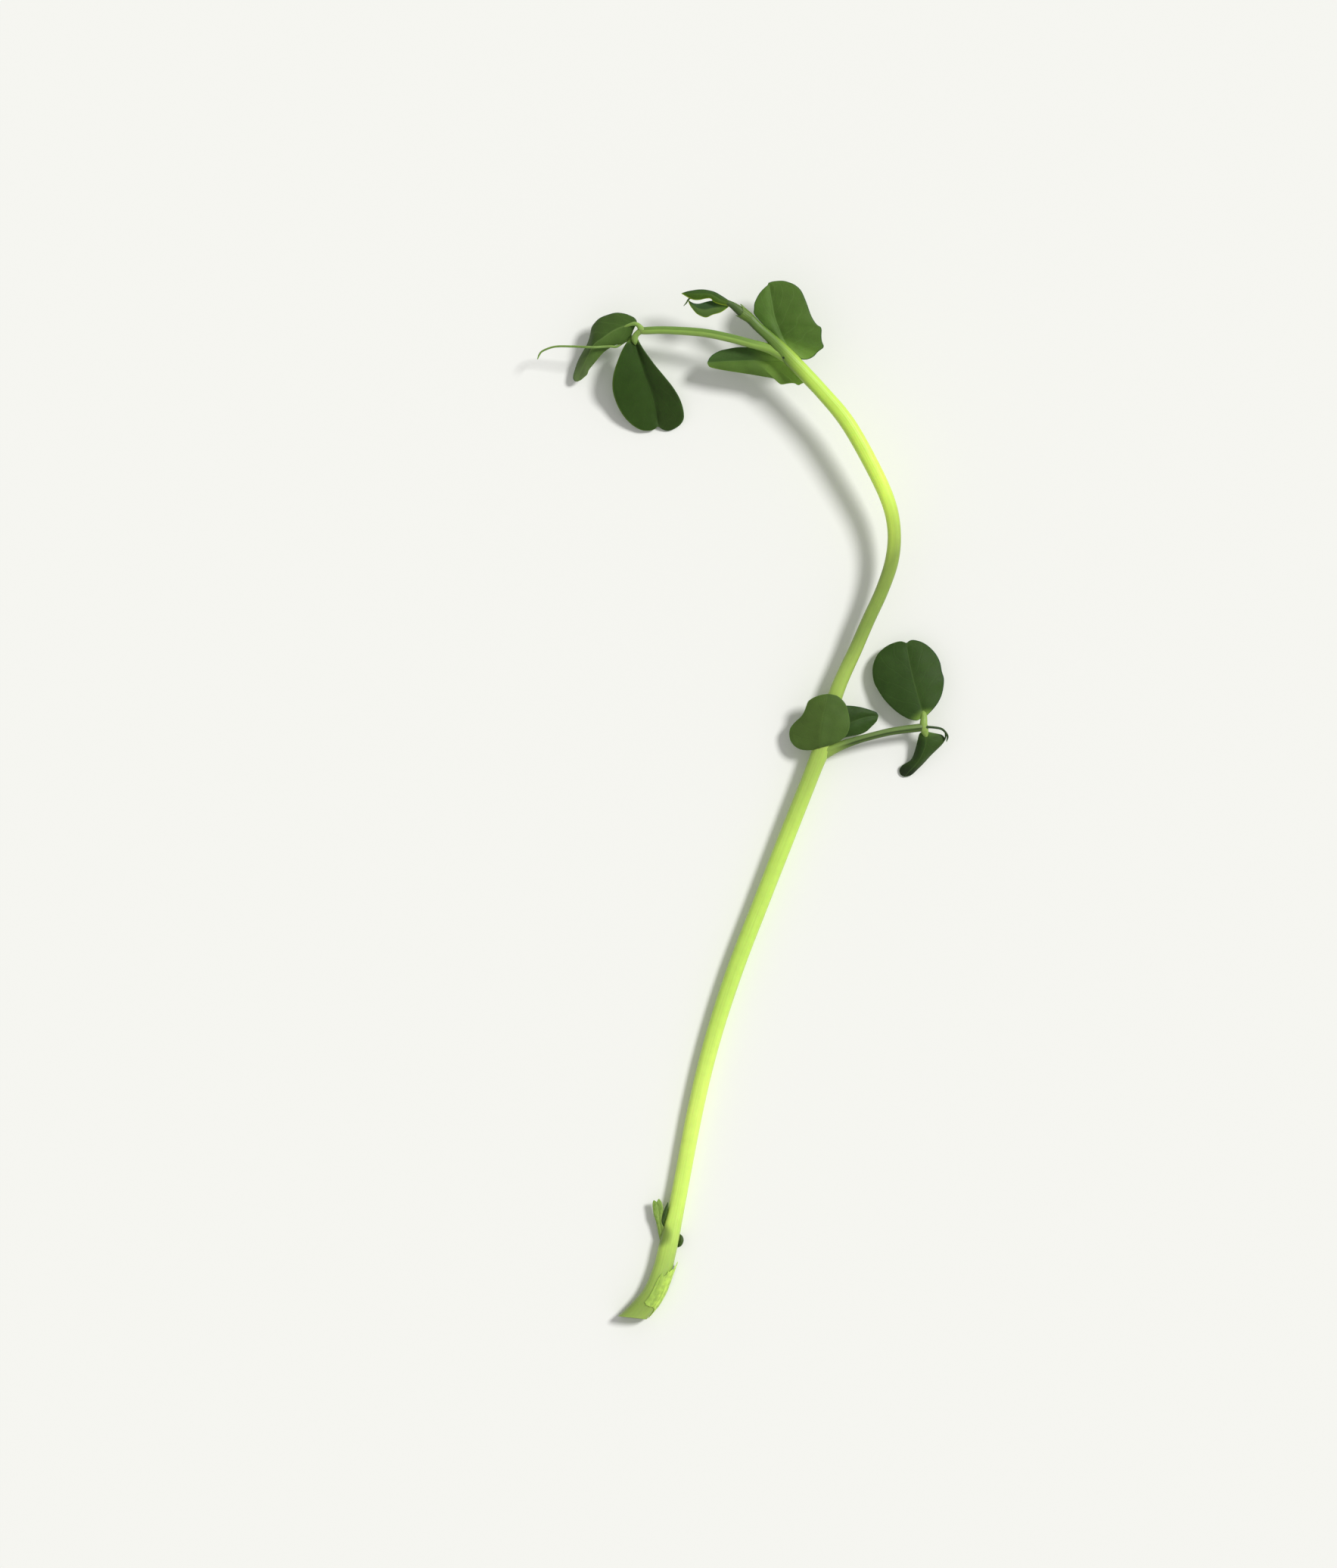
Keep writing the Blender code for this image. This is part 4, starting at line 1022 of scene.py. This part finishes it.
tip_mesh = bmesh.new()
wrap_sheath(
    tip_mesh, TIP_FEET, TIP_ENDS, TIP_TURNS, (-0.2, -0.03), off_start=0.42, off_end=0.24, tear=0.04,
    hug=4.0,
)
tip_stipule = make_piece(
    "bud_stipule_grown",
    tip_mesh,
    streaked_skin("tip stipule", tint(98, 128, 50), tint(90, 118, 46), flank=tint(112, 142, 60)),
)
give_thickness(tip_stipule, 0.07)
stand_for(tip_stipule, "bud_stipule")
lay_blade(
    "bud_leaflet_upper", root=(-2.2, 71.5, 8.8),
    left=((1.0, -0.1, -0.4), (0.3, 0.3, -0.2), (-0.3, 0.7, 0.0), (-1.1, 1.2, 0.1), (-1.8, 1.6, 0.1),
          (-2.4, 1.8, 0.1), (-3.4, 2.0, 0.0), (-4.3, 2.0, 0.0), (-5.0, 1.9, 0.0), (-6.0, 1.7, 0.0),
          (-6.8, 1.4, 0.0)),
    rib=((0.9, -0.5, -0.2), (0.1, 0.0, -0.1), (-1.1, 0.5, 0.2), (-2.4, 1.2, 0.3), (-3.9, 1.3, 0.3),
         (-5.4, 1.3, 0.2), (-6.8, 1.4, 0.0)),
    right=((0.75, -0.8, -0.5), (0.0, -0.4, -0.4), (-0.8, -0.3, -0.2), (-1.6, -0.1, 0.0),
           (-2.2, 0.2, 0.0), (-2.5, 0.6, 0.1), (-3.2, 0.6, 0.0), (-4.1, 0.4, 0.0),
           (-4.9, 0.4, 0.0), (-5.5, 0.6, 0.0), (-6.2, 1.0, 0.0), (-6.8, 1.4, 0.0)),
    skins=(
        leaf_skin("upper bud half", tint(60, 84, 38), tint(66, 90, 32), tint(84, 112, 44),
                  tint(32, 54, 46), tint(160, 184, 48), pairs=4.0, vein_share=0.2,
                  foot=tint(84, 110, 46), foot_reach=0.4),
    ),
    sink=0.4, rows=36, across=6, arch=0.1, crease=0.04, wave=0.0, thickness=0.2,
)
lay_blade(
    "bud_leaflet_lower", root=(-2.2, 71.3, 7.8),
    left=((-0.2, 0.4, 0.1), (-1.3, 0.6, 0.1), (-2.2, 0.7, 0.0), (-3.0, 0.58, 0.0), (-3.6, 0.4, 0.0),
          (-4.2, 0.25, -0.1), (-4.9, 0.3, -0.1), (-5.5, 0.6, -0.1), (-5.8, 0.8, -0.1)),
    rib=((0.1, 0.0, 0.1), (-1.1, -0.3, 0.2), (-2.2, -0.5, 0.2), (-3.3, -0.7, 0.1), (-4.3, -0.5, 0.0),
         (-5.2, 0.1, 0.0), (-5.8, 0.8, -0.1)),
    right=((0.2, -0.2, -0.1), (-0.3, -0.6, -0.2), (-1.1, -1.1, -0.4), (-2.2, -1.4, -0.5),
           (-3.1, -1.8, -0.6), (-3.9, -1.6, -0.6), (-4.6, -1.2, -0.5), (-5.2, -0.5, -0.4),
           (-5.6, 0.1, -0.2), (-5.8, 0.8, -0.1)),
    skins=(
        leaf_skin("lower bud half", tint(62, 84, 50), tint(92, 116, 62), tint(108, 130, 70),
                  tint(44, 64, 58), tint(196, 222, 48), pairs=4.0, vein_share=0.15,
                  foot=tint(88, 116, 50), foot_reach=0.4),
    ),
    sink=-0.3, rows=36, across=6, arch=0.1, crease=0.04, wave=0.0, thickness=0.2,
)
tip_tendril = grow_bud(
    "tip_tendril_grown",
    ((-6.6, 72.2, 8.5, 0.06), (-7.6, 72.25, 8.5, 0.12), (-8.0, 71.95, 8.4, 0.12),
     (-8.2, 71.6, 8.3, 0.1), (-8.6, 71.15, 8.2, 0.04)),
    bud_skin,
)
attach(tip_tendril, "root")


# The table, the soft studio light and the camera straight above, in metres.

CAMERA_HEIGHT = 0.8
CAMERA_SPOT = (-0.01078, 0.002365, CAMERA_HEIGHT)
VIEW_LENGTH = 0.22792
SENSOR_HEIGHT = 36.0
TABLE_SIZE = 6.0
TABLE_DROP = 0.00005
CLIP_START = 0.01
PALE = tint(246, 246, 241)
KEY_FROM = (0.56, 0.34, 0.78)
KEY_STRENGTH = 2.33
KEY_SPREAD = math.radians(14)
FILL_STRENGTH = 0.43

table_mesh = bmesh.new()
bmesh.ops.create_grid(table_mesh, x_segments=1, y_segments=1, size=TABLE_SIZE / 2)
for vert in table_mesh.verts:
    vert.co.z = -TABLE_DROP
table_data = bpy.data.meshes.new("table")
table_mesh.to_mesh(table_data)
table_mesh.free()
table = bpy.data.objects.new("table", table_data)
show(table)
table_paint = bpy.data.materials.new("pale table")
table_paint.use_nodes = True
table_shader = table_paint.node_tree.nodes["Principled BSDF"]
table_shader.inputs["Base Color"].default_value = PALE
table_shader.inputs["Roughness"].default_value = 0.9
table_shader.inputs["Specular IOR Level"].default_value = 0.0
table_data.materials.append(table_paint)

key = bpy.data.lights.new("key light", "SUN")
key.energy = KEY_STRENGTH
key.angle = KEY_SPREAD
key_lamp = bpy.data.objects.new("key light", key)
key_lamp.rotation_euler = Vector(KEY_FROM).to_track_quat("Z", "Y").to_euler()
show(key_lamp)

# The room lights the plant softly from all round, and looks as pale as the table.
room = bpy.data.worlds.new("pale room")
room.use_nodes = True
room_tree = room.node_tree
fill = room_tree.nodes["Background"]
fill.inputs["Strength"].default_value = FILL_STRENGTH
seen = put(room_tree, "Background", {"Color": PALE, "Strength": 1.0})
looking = put(room_tree, "LightPath").outputs["Is Camera Ray"]
both = put(room_tree, "MixShader", {0: looking, 1: fill.outputs[0], 2: seen.outputs[0]})
fill.inputs["Color"].default_value = (1, 1, 1, 1)
room_tree.links.new(both.outputs[0], room_tree.nodes["World Output"].inputs["Surface"])
bpy.context.scene.world = room

lens = bpy.data.cameras.new("camera")
lens.sensor_fit = "VERTICAL"
lens.sensor_height = SENSOR_HEIGHT
lens.lens = SENSOR_HEIGHT * CAMERA_HEIGHT / VIEW_LENGTH
lens.clip_start = CLIP_START
camera = bpy.data.objects.new("camera", lens)
camera.location = CAMERA_SPOT
show(camera)
bpy.context.scene.camera = camera
bpy.context.scene.view_settings.view_transform = "Standard"
